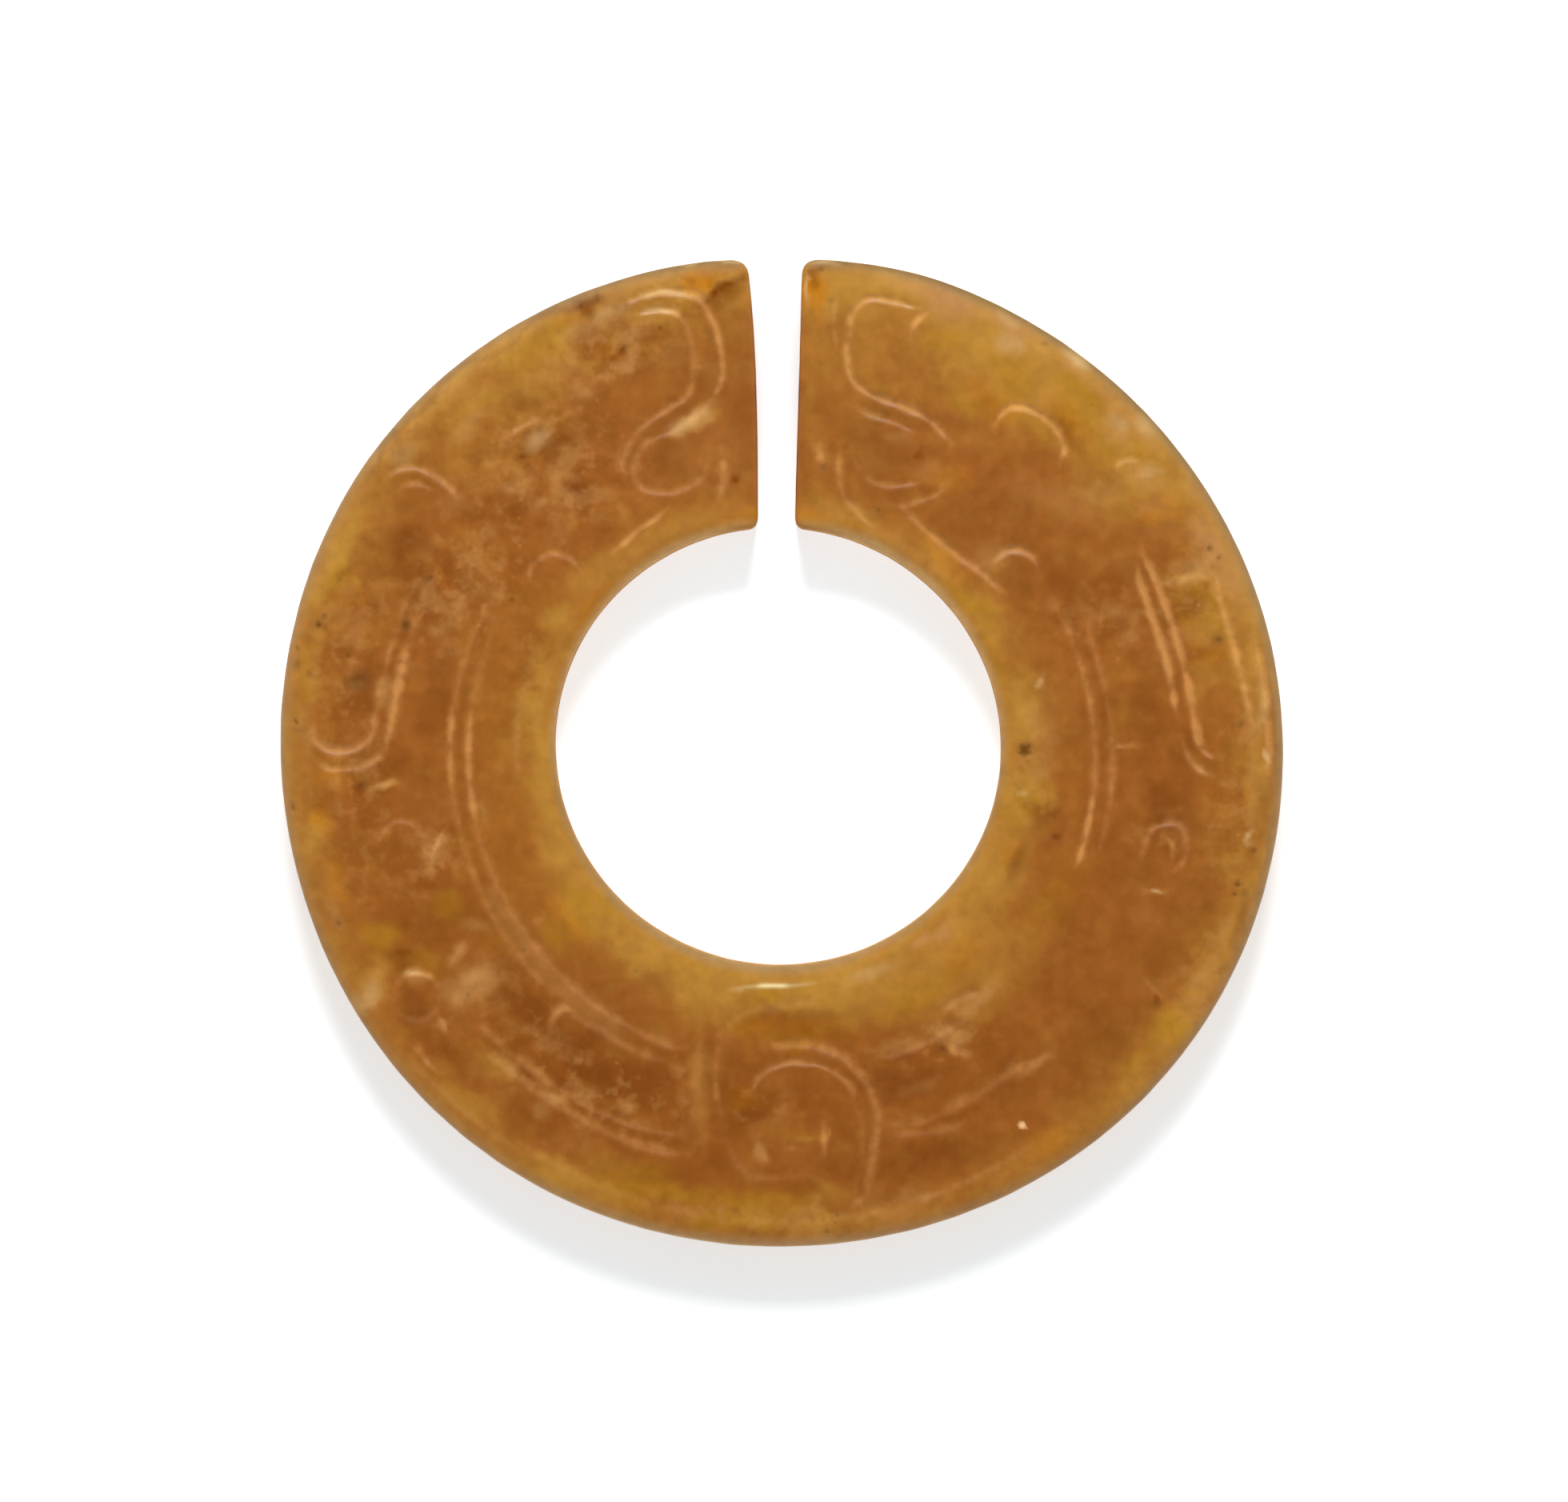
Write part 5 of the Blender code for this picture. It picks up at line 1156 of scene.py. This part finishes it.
def filled(border, inside, first_border, first_inside):
    """Triangles over a face, with the numbers of its border and inner points."""
    flat = [Vector(point) for point in (*border, *inside)]
    count = len(border)
    edges = [(i, (i + 1) % count) for i in range(count)]
    _, _, faces, sources, _, _ = delaunay_2d_cdt(flat, edges, [], 1, 1e-7)
    numbers = []
    for source in sources:
        i = min(source)
        numbers.append(first_border + i if i < count else first_inside + i - count)
    return [[numbers[i] for i in face] for face in faces]


def edge_rings(plan, normals, roundings):
    """Rings of points from the back up over the wall to the face.

    Beside each ring stands the share in which it takes part in the dips of the face.
    """
    rings, drops = [], []
    count = len(plan)
    top = THICKNESS - TOP_GAP

    def add(inset, height, drop):
        inset = np.broadcast_to(inset, count)[:, None]
        height = np.broadcast_to(height, count)
        rings.append(np.column_stack((plan + normals * inset, height)))
        drops.append(np.full(count, float(drop)))

    for turn in np.linspace(pi / 2, 0, BACK_STEPS):
        add(BACK_ROUND[0] * (1 - cos(turn)), BACK_ROUND[1] * (1 - sin(turn)), 0)
    for share in np.linspace(0, 1, WALL_STEPS)[1:-1]:
        add(0, BACK_ROUND[1] + share * (top - roundings[:, 1] - BACK_ROUND[1]), 0)
    for turn in np.linspace(0, pi / 2, TOP_STEPS):
        add(roundings[:, 0] * (1 - cos(turn)),
            top - roundings[:, 1] * (1 - sin(turn)), sin(turn))
    return rings, drops


def carved_disc(sizes):
    """The carved stone: points, faces, and what the stains of each point go by.

    These are its place in plan, which runs on outwards down the wall, the brightness of
    the lines, and the darker strip between paired lines with the painted shade beside them.
    """
    lines = incised_lines()
    cuts = Cuts(lines, sizes.line_width / MM / 2, sizes.seed)
    plan, roundings = outline(OUTLINE_STEP)
    normals = inward_normals(plan)
    rings, drops = edge_rings(plan + normals * INSET, normals, roundings)
    edge, drop = np.vstack(rings), np.concatenate(drops)
    first_face, first_back = (rings[i][:, :2].tolist() for i in (-1, 0))
    inside = np.array(face_points(first_face, lines, cuts, sizes.fineness / MM))
    back = np.array(back_grid(first_back))

    top = THICKNESS - TOP_GAP
    flat = np.vstack((edge[:, :2], inside))
    dip, bright, ridge_and_groove_shade = relief(flat, cuts, sizes)
    height = np.concatenate((edge[:, 2] - dip[:len(edge)] * drop, top - dip[len(edge):]))
    back_height = BACK_GRIND * np.clip(
        0.5 + noise_field(back, 3.0, sizes.seed + 3, 2), 0, 1)

    inwards = np.tile(normals, (len(rings), 1))
    hang = np.clip(top - np.tile(roundings[:, 1], len(rings)) - edge[:, 2], 0, None)
    hang *= np.clip(edge[:, 2] / BACK_ROUND[1], 0, 1)
    spread = np.vstack((edge[:, :2] - inwards * hang[:, None], inside, back))
    grind = noise_field(edge[:, :2] + edge[:, 2:3] * (0.9, 0.7), 1.6, sizes.seed + 9, 2)
    grind = WALL_GRIND * (0.5 + 0.5 * grind) * (1 - drop) * (edge[:, 2] > 0.05)
    flat[:len(edge)] += inwards * grind[:, None]

    points = np.vstack((np.column_stack((flat, height)),
                        np.column_stack((back, back_height))))
    bright[:len(edge)] *= drop
    bright, ridge_and_groove_shade = (np.concatenate((share, np.zeros(len(back))))
                     for share in (bright, ridge_and_groove_shade))

    count = len(plan)
    faces = ring_faces(count, len(rings))
    faces += filled(first_face, inside.tolist(), len(edge) - count, len(edge))
    faces += [face[::-1] for face in filled(first_back, back.tolist(), 0, len(flat))]
    used = np.unique(np.concatenate([np.ravel(face) for face in faces]))
    number = np.full(len(points), -1)
    number[used] = np.arange(len(used))
    faces = [number[face].tolist() for face in faces]
    return points[used], faces, spread[used], bright[used], ridge_and_groove_shade[used]


# ---------------------------------------------------------------- shares of the stains


def towards(turn, bearing):
    """1 on the side of the ring towards a bearing and -1 on the far side."""
    return np.cos(turn - radians(bearing))


def speck_shares(flat, sway):
    """The dark specks, with slightly uneven edges."""
    specks = np.zeros(len(flat))
    for x, y, size, strength in SPECKS:
        away = np.hypot(*(flat + 0.12 * sway - (x, y)).T) / size
        specks = np.maximum(specks, strength * np.exp(-away ** 2.5))
    return specks


def streak_shares(flat):
    """The pale scratches, which fade towards their ends."""
    shares = np.zeros(len(flat))
    for path, half_width, strength in streaks():
        path = even_steps(path, 0.1)
        tree = search_tree(path.tolist())
        low, high = path.min(0) - 1, path.max(0) + 1
        for i in np.flatnonzero(((flat > low) & (flat < high)).all(1)):
            _, index, away = tree.find((*flat[i], 0))
            fade = min(1.0, min(index, len(path) - 1 - index) / 8)
            shares[i] = max(shares[i], strength * fade * exp(-((away / half_width) ** 2)))
    return shares


def edge_glint(bearing, radius):
    """The painted highlight, a long glint at the foot of the hole."""
    at, arc, width = EDGE_GLINT
    along = (bearing % 360 - at) / width
    away = (radius - arc - 0.08 * np.clip(along, 0, None) ** 2) / 0.1
    return np.exp(-(away**2)) * np.maximum(
        np.exp(-(along**4)), 0.35 * np.exp(-((along / 2.2) ** 4)))


def stain_shares(height, flat, bright, ridge_and_groove_shade, seed):
    """The share of each stain at every point, given its height and its place in plan."""
    wide, fine = (
        np.stack([noise_field(flat, size, seed + more) for more in seeds], -1)
        for size, seeds in ((2.4, (20, 21)), (0.8, (22, 23))))
    warp = 0.6 * wide + 0.2 * fine
    radius = np.hypot(*flat.T)
    turn = np.arctan2(flat[:, 0], flat[:, 1])
    bearing = np.degrees(turn)
    to_rim = outer_radius(bearing) - radius
    from_hole = np.hypot(*(flat - HOLE_CENTRE).T) - HOLE_RADIUS
    in_rim, in_hole = np.clip(to_rim, 0, None), np.clip(from_hole, 0, None)

    # Where on the ring a point lies
    north = np.clip(towards(turn, 18), 0, 1) ** 2
    south = np.clip(towards(turn, 190), 0, 1) ** 8
    upper = smooth_step(-0.3, 0.6, np.cos(turn))
    lower = smooth_step(2.0, -14.0, flat[:, 1])
    beside_slit = 0.3 + 0.7 * smooth_step(7.0, 20.0, np.abs(bearing))

    # Painted glow: the amber stone is lighter along the rim and around the hole, as if lit
    # through its thin edges, and more so on the sides that face the key light
    cloudy = noise_field(flat, 3.0, seed + 30)
    depth = 1.7 + 0.7 * towards(turn, 30) + 0.6 * cloudy
    outer_glow = (0.56 + 0.16 * towards(turn, 20)) * np.exp(
        -np.clip(to_rim - 0.3, 0, None) / np.clip(depth, 0.6, None))
    inner_glow = (0.52 + 0.15 * towards(turn, 175)) * np.exp(
        -np.clip(from_hole - 0.5, 0, None) / (1.4 + 0.5 * cloudy))
    glow = joined(outer_glow, inner_glow)

    # The two edges: duller and greyer, chipped to cream, with painted light and shade that even
    # out the key light on their bevels, and a painted dark line of shade at the very rim
    edge = smooth_step(1.3, 0.5, to_rim) * (0.35 + 0.65 * north) + smooth_step(
        1.2, 0.5, from_hole)
    # Painted light: a pale band on the hole's upper edge, which faces away from the key light
    halo = 0.4 * upper * beside_slit * bell(from_hole - 0.15, 0.3)
    # Greyer stone along the edges, laid on more strongly as painted shade where the bevels face
    # the key light, on the north rim and the hole's lower edge
    worn = (0.45 + 0.3 * towards(turn, 20)) * bell(in_rim, 0.38 + 0.14 * north) + (
        0.7 - 0.58 * upper) * bell(in_hole, 0.4)
    # Cream chips, and painted light on the hole's upper edge and on the south rim, which face
    # away from the key light
    cream = joined(
        soft_spots(flat, warp * 0.5, CREAM), 0.6 * upper * beside_slit * bell(in_hole, 0.3),
        0.3 * south * bell(in_rim, 0.35))

    shares = {
        # Amber: clear stone, joined with the painted glow of the edges
        "amber": joined(glow, soft_spots(flat, warp, AMBER)),
        "olive": soft_spots(flat, warp, OLIVE),
        # Umber: dark brown clouds, a darkening towards the bottom, and the darker strip between
        # paired lines with the painted shade beside every line
        "umber": joined(soft_spots(flat, warp, UMBER),
                        0.18 * lower * (1 - np.clip(glow * 2, 0, 1)), 0.3 * ridge_and_groove_shade),
        "deep": soft_spots(flat, warp, DEEP),
        "rust": soft_spots(flat, warp * 0.7, RUST),
        "orange": soft_spots(flat, warp * 0.8, ORANGE),
        "edge": edge,
        "mottle": 0.12 + 0.88 * soft_spots(flat, warp, MOTTLED),
    }
    face_only = {
        # Pale: veins and scratches, with the painted highlights of the streaks and the painted
        # light of the halo
        "pale": soft_spots(flat, warp * 0.7, PALE) + streak_shares(flat) + halo,
        "scoured": bright,
        "speck": speck_shares(flat, wide),
        # Painted shade: a dark line at the very edge of the rim, darker and wider on the north
        # side
        "skin": (0.15 + 0.4 * north) * bell(in_rim, 0.27),
        "worn": worn,
        # Painted highlights: the small glint and the long glint at the foot of the hole
        "glint": np.exp(-(np.hypot(*(flat - GLINT[:2]).T) / GLINT[2]) ** 4),
        "shine": edge_glint(bearing, radius),
        "cream": cream,
    }
    top_side = smooth_step(THICKNESS - 0.9, THICKNESS - 0.5, height)
    shares = {name: np.clip(share, 0, 1) for name, share in (shares | face_only).items()}
    return shares | {name: shares[name] * top_side for name in face_only}


# ---------------------------------------------------------------- the finish
# Sizes of the noises in the stone and of the tooth of the paper, in metres
CLOUD_SIZE = 0.0036
BLOTCH_SIZE = 0.0016
SPOT_SIZE = 0.0017
FLECK_SIZE = 0.0006
GRAIN_SIZE = 0.0007
RAGGED_SIZE = 0.00045
SCRATCH_SIZE = 0.00025
TOOTH_SIZE = 0.004
# A second place in the noises, so that they don't fall together
ASIDE = (0.11, 0.07, 0.0)
# How strongly noise frays the soft edges of the stains and of the lines
STAIN_FRAY = 4.0
LINE_FRAY = 3.6
# How much lighter the stone is where a line is scoured, and how much of it is powder
LINE_LIFT = (1.45, 1.6, 2.0)
LINE_POWDER = 0.55
# Colours of the painted highlights: the small glint and the long glint at the foot of the hole
GLINT_COLOUR = (1.0, 0.6, 0.28)
SHINE_COLOUR = (1.0, 0.8, 0.4)
# The lit table: colour of its light, and where and by how much it is brighter
GLOW_COLOUR = (0.95, 1.05, 1.1, 1.0)
GLOW_FADE = (0.0105, 0.02)
GLOW_EXTRA = 0.125


class Nodes:
    """Adds nodes to a tree, each given by its type, settings and inputs."""

    def __init__(self, tree):
        self.tree = tree

    def fill(self, node, inputs):
        """Set or link the inputs of a node, by name or number."""
        for name, value in inputs.items():
            if isinstance(value, bpy.types.NodeSocket):
                self.tree.links.new(value, node.inputs[name])
            else:
                node.inputs[name].default_value = value

    def add(self, kind, inputs=(), **settings):
        """A new node of a kind."""
        node = self.tree.nodes.new(kind)
        for name, value in settings.items():
            setattr(node, name, value)
        self.fill(node, dict(inputs))
        return node

    def maths(self, operation, *values, clamp=False):
        """The result of a sum on numbers or sockets."""
        node = self.add("ShaderNodeMath", enumerate(values), operation=operation,
                        use_clamp=clamp)
        return node.outputs[0]

    def times(self, first, second):
        """Two numbers multiplied."""
        return self.maths("MULTIPLY", first, second)

    def plus(self, first, second, clamp=False):
        """Two numbers added."""
        return self.maths("ADD", first, second, clamp=clamp)

    def centred(self, value):
        """A noise moved from 0 to 1 down to -0.5 to 0.5."""
        return self.maths("SUBTRACT", value, 0.5)

    def frayed(self, share, ragged, strength):
        """A share whose soft edge is broken up, while its bare and full parts stay."""
        room = self.times(share, self.maths("SUBTRACT", 1.0, share))
        return self.plus(share, self.times(ragged, self.times(room, strength)), clamp=True)

    def mixed(self, share, first, second, blend="MIX"):
        """Two colours mixed by a share."""
        first, second = (
            colour if isinstance(colour, bpy.types.NodeSocket) else (*colour, 1.0)
            for colour in (first, second))
        node = self.add("ShaderNodeMix", {0: share, 6: first, 7: second},
                        data_type="RGBA", blend_type=blend)
        return node.outputs[2]

    def share(self, name):
        """A share stored on the stone's points."""
        return self.add("ShaderNodeAttribute", attribute_name=name).outputs["Fac"]

    def noise(self, place_on, size, detail=3.0, roughness=0.55, distortion=0.0):
        """Noise whose features are about size across, in metres."""
        node = self.add("ShaderNodeTexNoise", {
            "Vector": place_on, "Scale": 1 / size, "Detail": detail,
            "Roughness": roughness, "Distortion": distortion})
        return node.outputs["Fac"]

    def dots(self, place_on, size, rarity):
        """Scattered small dots about size apart, fewer the nearer rarity is to 1."""
        cell = self.add("ShaderNodeTexVoronoi", {"Vector": place_on, "Scale": 1 / size})
        chance = self.add("ShaderNodeSeparateColor", {0: cell.outputs["Color"]}).outputs[0]
        return self.times(self.ranged(cell.outputs["Distance"], 0.07, 0.15, 1.0, 0.0),
                          self.ranged(chance, rarity, rarity + 0.1, 0.0, 0.6))

    def ranged(self, value, low, high, to_low, to_high):
        """A number carried from one range to another, and held inside it."""
        node = self.add("ShaderNodeMapRange", {
            "Value": value, 1: low, 2: high, 3: to_low, 4: to_high},
            interpolation_type="SMOOTHSTEP")
        return node.outputs[0]


def new_finish(name):
    """A new material, with its nodes and its shader."""
    material = bpy.data.materials.new(name)
    material.use_nodes = True
    return material, Nodes(material.node_tree), material.node_tree.nodes["Principled BSDF"]


def jade_body(n, colours, cloud, blotch):
    """The clouded body of the stone under its stains."""
    tone = n.mixed(n.ranged(cloud, 0.42, 0.7, 0.0, 0.3), colours.russet, colours.umber)
    tone = n.mixed(n.ranged(blotch, 0.5, 0.72, 0.0, 0.13), tone, colours.amber)
    return n.mixed(n.ranged(blotch, 0.48, 0.3, 0.0, 0.13), tone, colours.umber)


def mottled(n, tone, colours, spot, aside):
    """A tone with light and dark spots, flecks and dots where the stone is mottled."""
    mottle = n.share("mottle")
    spots = n.noise(aside, SPOT_SIZE, 3.0, 0.55, 0.2)
    flecks = n.noise(spot, FLECK_SIZE, 1.0, 0.5)
    for share, colour in (
            (n.ranged(spots, 0.48, 0.68, 0.0, 0.5), colours.pale),
            (n.ranged(spots, 0.52, 0.34, 0.0, 0.5), colours.umber),
            (n.ranged(flecks, 0.54, 0.72, 0.0, 0.42), colours.pale),
            (n.ranged(flecks, 0.46, 0.28, 0.0, 0.4), colours.umber),
            (n.dots(spot, 0.0012, 0.72), colours.speck),
            (n.dots(aside, 0.001, 0.7), colours.pale)):
        tone = n.mixed(n.times(share, mottle), tone, colour)
    return tone


def jade_colour(n, colours, spot, grain):
    """The colour of the stone, from its body up to the lines, the edges with their painted
    light and shade, and the painted highlights.
    """
    aside = n.add("ShaderNodeMapping", {"Vector": spot, "Location": ASIDE}).outputs[0]
    cloud = n.noise(spot, CLOUD_SIZE, 3.0, 0.5, 0.4)
    blotch = n.noise(spot, BLOTCH_SIZE, 2.5, 0.5, 0.3)
    ragged = n.centred(n.noise(aside, RAGGED_SIZE, 2.0, 0.6))
    broken = n.plus(n.times(n.centred(cloud), 0.45), n.times(n.centred(blotch), 0.5))
    broken = n.plus(broken, n.times(ragged, 0.35))

    def stained(tone, *layers):
        """A tone under layers of stain: (share, colour, fray, strength) of each."""
        for name, colour, fray, strength in layers:
            share = n.frayed(n.share(name), broken, STAIN_FRAY * fray)
            tone = n.mixed(n.times(share, strength), tone, colour)
        return tone

    tone = stained(
        jade_body(n, colours, cloud, blotch),
        ("umber", colours.umber, 0.6, 1.0), ("amber", colours.amber, 0.8, 1.0),
        ("olive", colours.olive, 0.8, 1.0), ("orange", colours.orange, 0.6, 1.0),
        ("deep", colours.umber, 0.7, 1.0), ("rust", colours.rust, 0.8, 1.0),
        ("pale", colours.pale, 0.6, 1.0))
    tone = mottled(n, tone, colours, spot, aside)
    powder = n.mixed(LINE_POWDER, n.mixed(1.0, tone, LINE_LIFT, "MULTIPLY"), colours.scoured)
    tone = n.mixed(n.frayed(n.share("scoured"), ragged, LINE_FRAY), tone, powder)
    # Over the lines: the greyer edges and cream places, partly painted light and shade on the
    # bevels; the painted dark line of shade at the rim; and the specks
    tone = stained(
        tone,
        ("worn", colours.worn, 0.5, 1.0), ("cream", colours.cream, 0.5, 1.0),
        ("skin", colours.rim, 0.3, 0.95), ("speck", colours.speck, 0.3, 0.8))
    # Painted highlights: the small glint and the long glint at the foot of the hole
    tone = n.mixed(n.share("glint"), tone, GLINT_COLOUR)
    tone = n.mixed(n.share("shine"), tone, SHINE_COLOUR)
    return n.add("ShaderNodeVectorMath", {
        0: tone, "Scale": n.ranged(grain, 0.25, 0.75, 0.93, 1.07)},
        operation="SCALE").outputs[0]


def jade_polish(n, colours, spot, grain):
    """The polish of the stone: duller on lines, specks, rust and worn edges."""
    dull = n.plus(n.times(n.share("scoured"), 0.25), n.times(n.centred(grain), 0.12))
    dull = n.plus(dull, n.times(n.share("speck"), 0.5))
    dull = n.plus(dull, n.times(n.share("edge"), 0.25))
    matt = n.maths("MAXIMUM", n.times(n.share("edge"), 0.85), n.share("speck"))
    matt = n.maths("MAXIMUM", matt, n.share("rust"))
    matt = n.maths("MAXIMUM", matt, n.times(n.share("orange"), 0.8))
    height = n.plus(n.times(grain, 0.6), n.times(n.noise(spot, SCRATCH_SIZE), 0.25))
    bump = n.add("ShaderNodeBump", {"Height": height, "Strength": 0.12, "Distance": 0.00006})
    return {
        "Roughness": n.plus(dull, colours.roughness, clamp=True),
        "Specular IOR Level": n.ranged(matt, 0.0, 1.0, 0.3, 0.02),
        "Normal": bump.outputs[0],
    }


def jade_finish(colours):
    """Polished russet jade with amber edges and a painted glow, stains, veins, scoured lines
    and specks, and painted highlights and shade.
    """
    material, n, shader = new_finish("russet_jade")
    spot = n.add("ShaderNodeTexCoord").outputs["Object"]
    grain = n.noise(spot, GRAIN_SIZE, 2.0, 0.5)
    n.fill(shader, {
        "Base Color": jade_colour(n, colours, spot, grain),
        **jade_polish(n, colours, spot, grain),
        "IOR": 1.55,
        "Subsurface Weight": colours.translucency,
        "Subsurface Radius": (1.0, 0.45, 0.18),
        "Subsurface Scale": 0.0007,
    })
    return material


def floor_finish(colour, glow):
    """Plain matt paper on a lit table."""
    material, n, shader = new_finish("paper_floor")
    spot = n.add("ShaderNodeTexCoord").outputs["Object"]
    tooth = n.ranged(n.noise(spot, TOOTH_SIZE), 0.3, 0.7, 0.0, 0.04)
    centre = n.add("ShaderNodeVectorMath", {0: spot}, operation="LENGTH").outputs["Value"]
    n.fill(shader, {
        "Base Color": n.mixed(tooth, colour, [value * 0.97 for value in colour]),
        "Roughness": 0.9,
        "Specular IOR Level": 0.1,
        "Emission Color": GLOW_COLOUR,
        "Emission Strength": n.ranged(centre, *GLOW_FADE, glow + GLOW_EXTRA, glow),
    })
    return material


# ---------------------------------------------------------------- the studio
# Heights of the sky between which the horizon and the dark ceiling fade
HORIZON = (0.02, 0.08)
CEILING = (0.58, 0.86)
# Where the camera stands off the middle, its film width and how far it sees
CAMERA_OFFSET = (0.00018, 0.00001)
FILM_WIDTH = 36.0
SIGHT = 20.0


def added(scene, name, data):
    """A new object of the scene."""
    thing = bpy.data.objects.new(name, data)
    scene.collection.objects.link(thing)
    return thing


def laid_floor(scene, settings):
    """The square floor on which the disc lies."""
    half = settings.floor_size / 2
    mesh = bpy.data.meshes.new("floor")
    mesh.from_pydata(
        [(-half, -half, 0), (half, -half, 0), (half, half, 0), (-half, half, 0)], [],
        [(0, 1, 2, 3)])
    mesh.materials.append(floor_finish(settings.floor_colour, settings.floor_glow))
    floor = added(scene, "floor", mesh)
    floor.location.z = LOW.z
    return floor


def light_room(scene, settings):
    """A white room that is lit up to its dark ceiling."""
    world = bpy.data.worlds.new("studio_room")
    world.use_nodes = True
    scene.world = world
    n = Nodes(world.node_tree)
    way = n.add("ShaderNodeTexCoord").outputs["Generated"]
    up = n.add("ShaderNodeSeparateXYZ", {0: way}).outputs[2]
    room, zenith = settings.room_light, settings.zenith_light
    wall = n.ranged(up, *HORIZON, settings.horizon_light, room)
    ceiling = n.ranged(up, *CEILING, 0.0, room - zenith)
    n.fill(world.node_tree.nodes["Background"], {
        "Strength": n.maths("SUBTRACT", wall, ceiling), "Color": (1, 1, 1, 1)})


def hang_key_light(scene, settings):
    """A soft square light beyond the slit, turned to the disc."""
    lamp = bpy.data.lights.new("key_softbox", "AREA")
    lamp.shape = "SQUARE"
    lamp.size = settings.key_size
    lamp.energy = settings.key_power
    key = added(scene, "key_softbox", lamp)
    height = settings.key_elevation
    key.location = Vector((0, cos(height), sin(height))) * settings.key_distance
    key.rotation_euler = (-(pi / 2 - height), 0, 0)
    key.visible_camera = False


def place_camera(scene, settings):
    """A camera straight above the disc."""
    lens = bpy.data.cameras.new("camera")
    lens.sensor_fit = "HORIZONTAL"
    lens.sensor_width = FILM_WIDTH
    lens.lens = FILM_WIDTH * settings.camera_distance / settings.framed_width
    lens.clip_end = SIGHT
    camera = added(scene, "camera", lens)
    camera.location = (*CAMERA_OFFSET, HIGH.z + settings.camera_distance)
    scene.camera = camera
    scene.view_settings.view_transform = "Standard"
    scene.view_settings.look = "None"


# ---------------------------------------------------------------- operators and panel


class JADE_OT_carve_disc(bpy.types.Operator):
    """Carve the stone disc and give it its jade finish."""

    bl_idname = "jade.carve_disc"
    bl_label = "Carve the disc"

    def execute(self, context):
        """Make the carved mesh in the place of the plain solid."""
        sizes = context.scene.jade_sizes
        points, faces, spread, bright, ridge_and_groove_shade = carved_disc(sizes)
        mesh = bpy.data.meshes.new("carved_disc")
        mesh.from_pydata((points * MM).tolist(), [], faces)
        shares = stain_shares(points[:, 2], spread, bright, ridge_and_groove_shade, sizes.seed)
        for name, values in shares.items():
            layer = mesh.attributes.new(name, "FLOAT", "POINT")
            layer.data.foreach_set("value", values.astype(np.float32))
        mesh.shade_smooth()
        mesh.materials.append(jade_finish(context.scene.jade_colours))
        disc = added(context.scene, "carved_disc", mesh)
        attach(disc, "root")
        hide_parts("jade_disc")
        return {"FINISHED"}


class JADE_OT_set_studio(bpy.types.Operator):
    """Lay the floor, hang the lights and place the camera."""

    bl_idname = "jade.set_studio"
    bl_label = "Set the studio"

    def execute(self, context):
        """Make the floor, the room light, the key light and the camera."""
        scene, settings = context.scene, context.scene.jade_studio
        floor = laid_floor(scene, settings)
        light_room(scene, settings)
        hang_key_light(scene, settings)
        place_camera(scene, settings)
        return {"FINISHED"}


class JADE_PT_panel(bpy.types.Panel):
    """The disc's tools in the sidebar."""

    bl_idname = "JADE_PT_panel"
    bl_label = "Jade slit disc"
    bl_space_type = "VIEW_3D"
    bl_region_type = "UI"
    bl_category = "Jade disc"

    def draw(self, context):
        """List the settings and the operators."""
        layout = self.layout
        for group in ("jade_sizes", "jade_colours", "jade_studio"):
            box = layout.box()
            settings = getattr(context.scene, group)
            for name in settings.bl_rna.properties.keys():
                if name not in ("rna_type", "name"):
                    box.prop(settings, name)
        layout.operator(JADE_OT_carve_disc.bl_idname)
        layout.operator(JADE_OT_set_studio.bl_idname)


CLASSES = (
    DiscSizes,
    JadeColours,
    StudioSettings,
    JADE_OT_carve_disc,
    JADE_OT_set_studio,
    JADE_PT_panel,
)


def register():
    """Add the classes and the settings to Blender."""
    for cls in CLASSES:
        bpy.utils.register_class(cls)
    bpy.types.Scene.jade_sizes = PointerProperty(type=DiscSizes)
    bpy.types.Scene.jade_colours = PointerProperty(type=JadeColours)
    bpy.types.Scene.jade_studio = PointerProperty(type=StudioSettings)


def unregister():
    """Take the settings and the classes away again."""
    del bpy.types.Scene.jade_studio
    del bpy.types.Scene.jade_colours
    del bpy.types.Scene.jade_sizes
    for cls in reversed(CLASSES):
        bpy.utils.unregister_class(cls)


def main():
    """Make every piece: the carved disc and the studio."""
    register()
    bpy.ops.jade.carve_disc()
    bpy.ops.jade.set_studio()


if __name__ == "__main__":
    main()
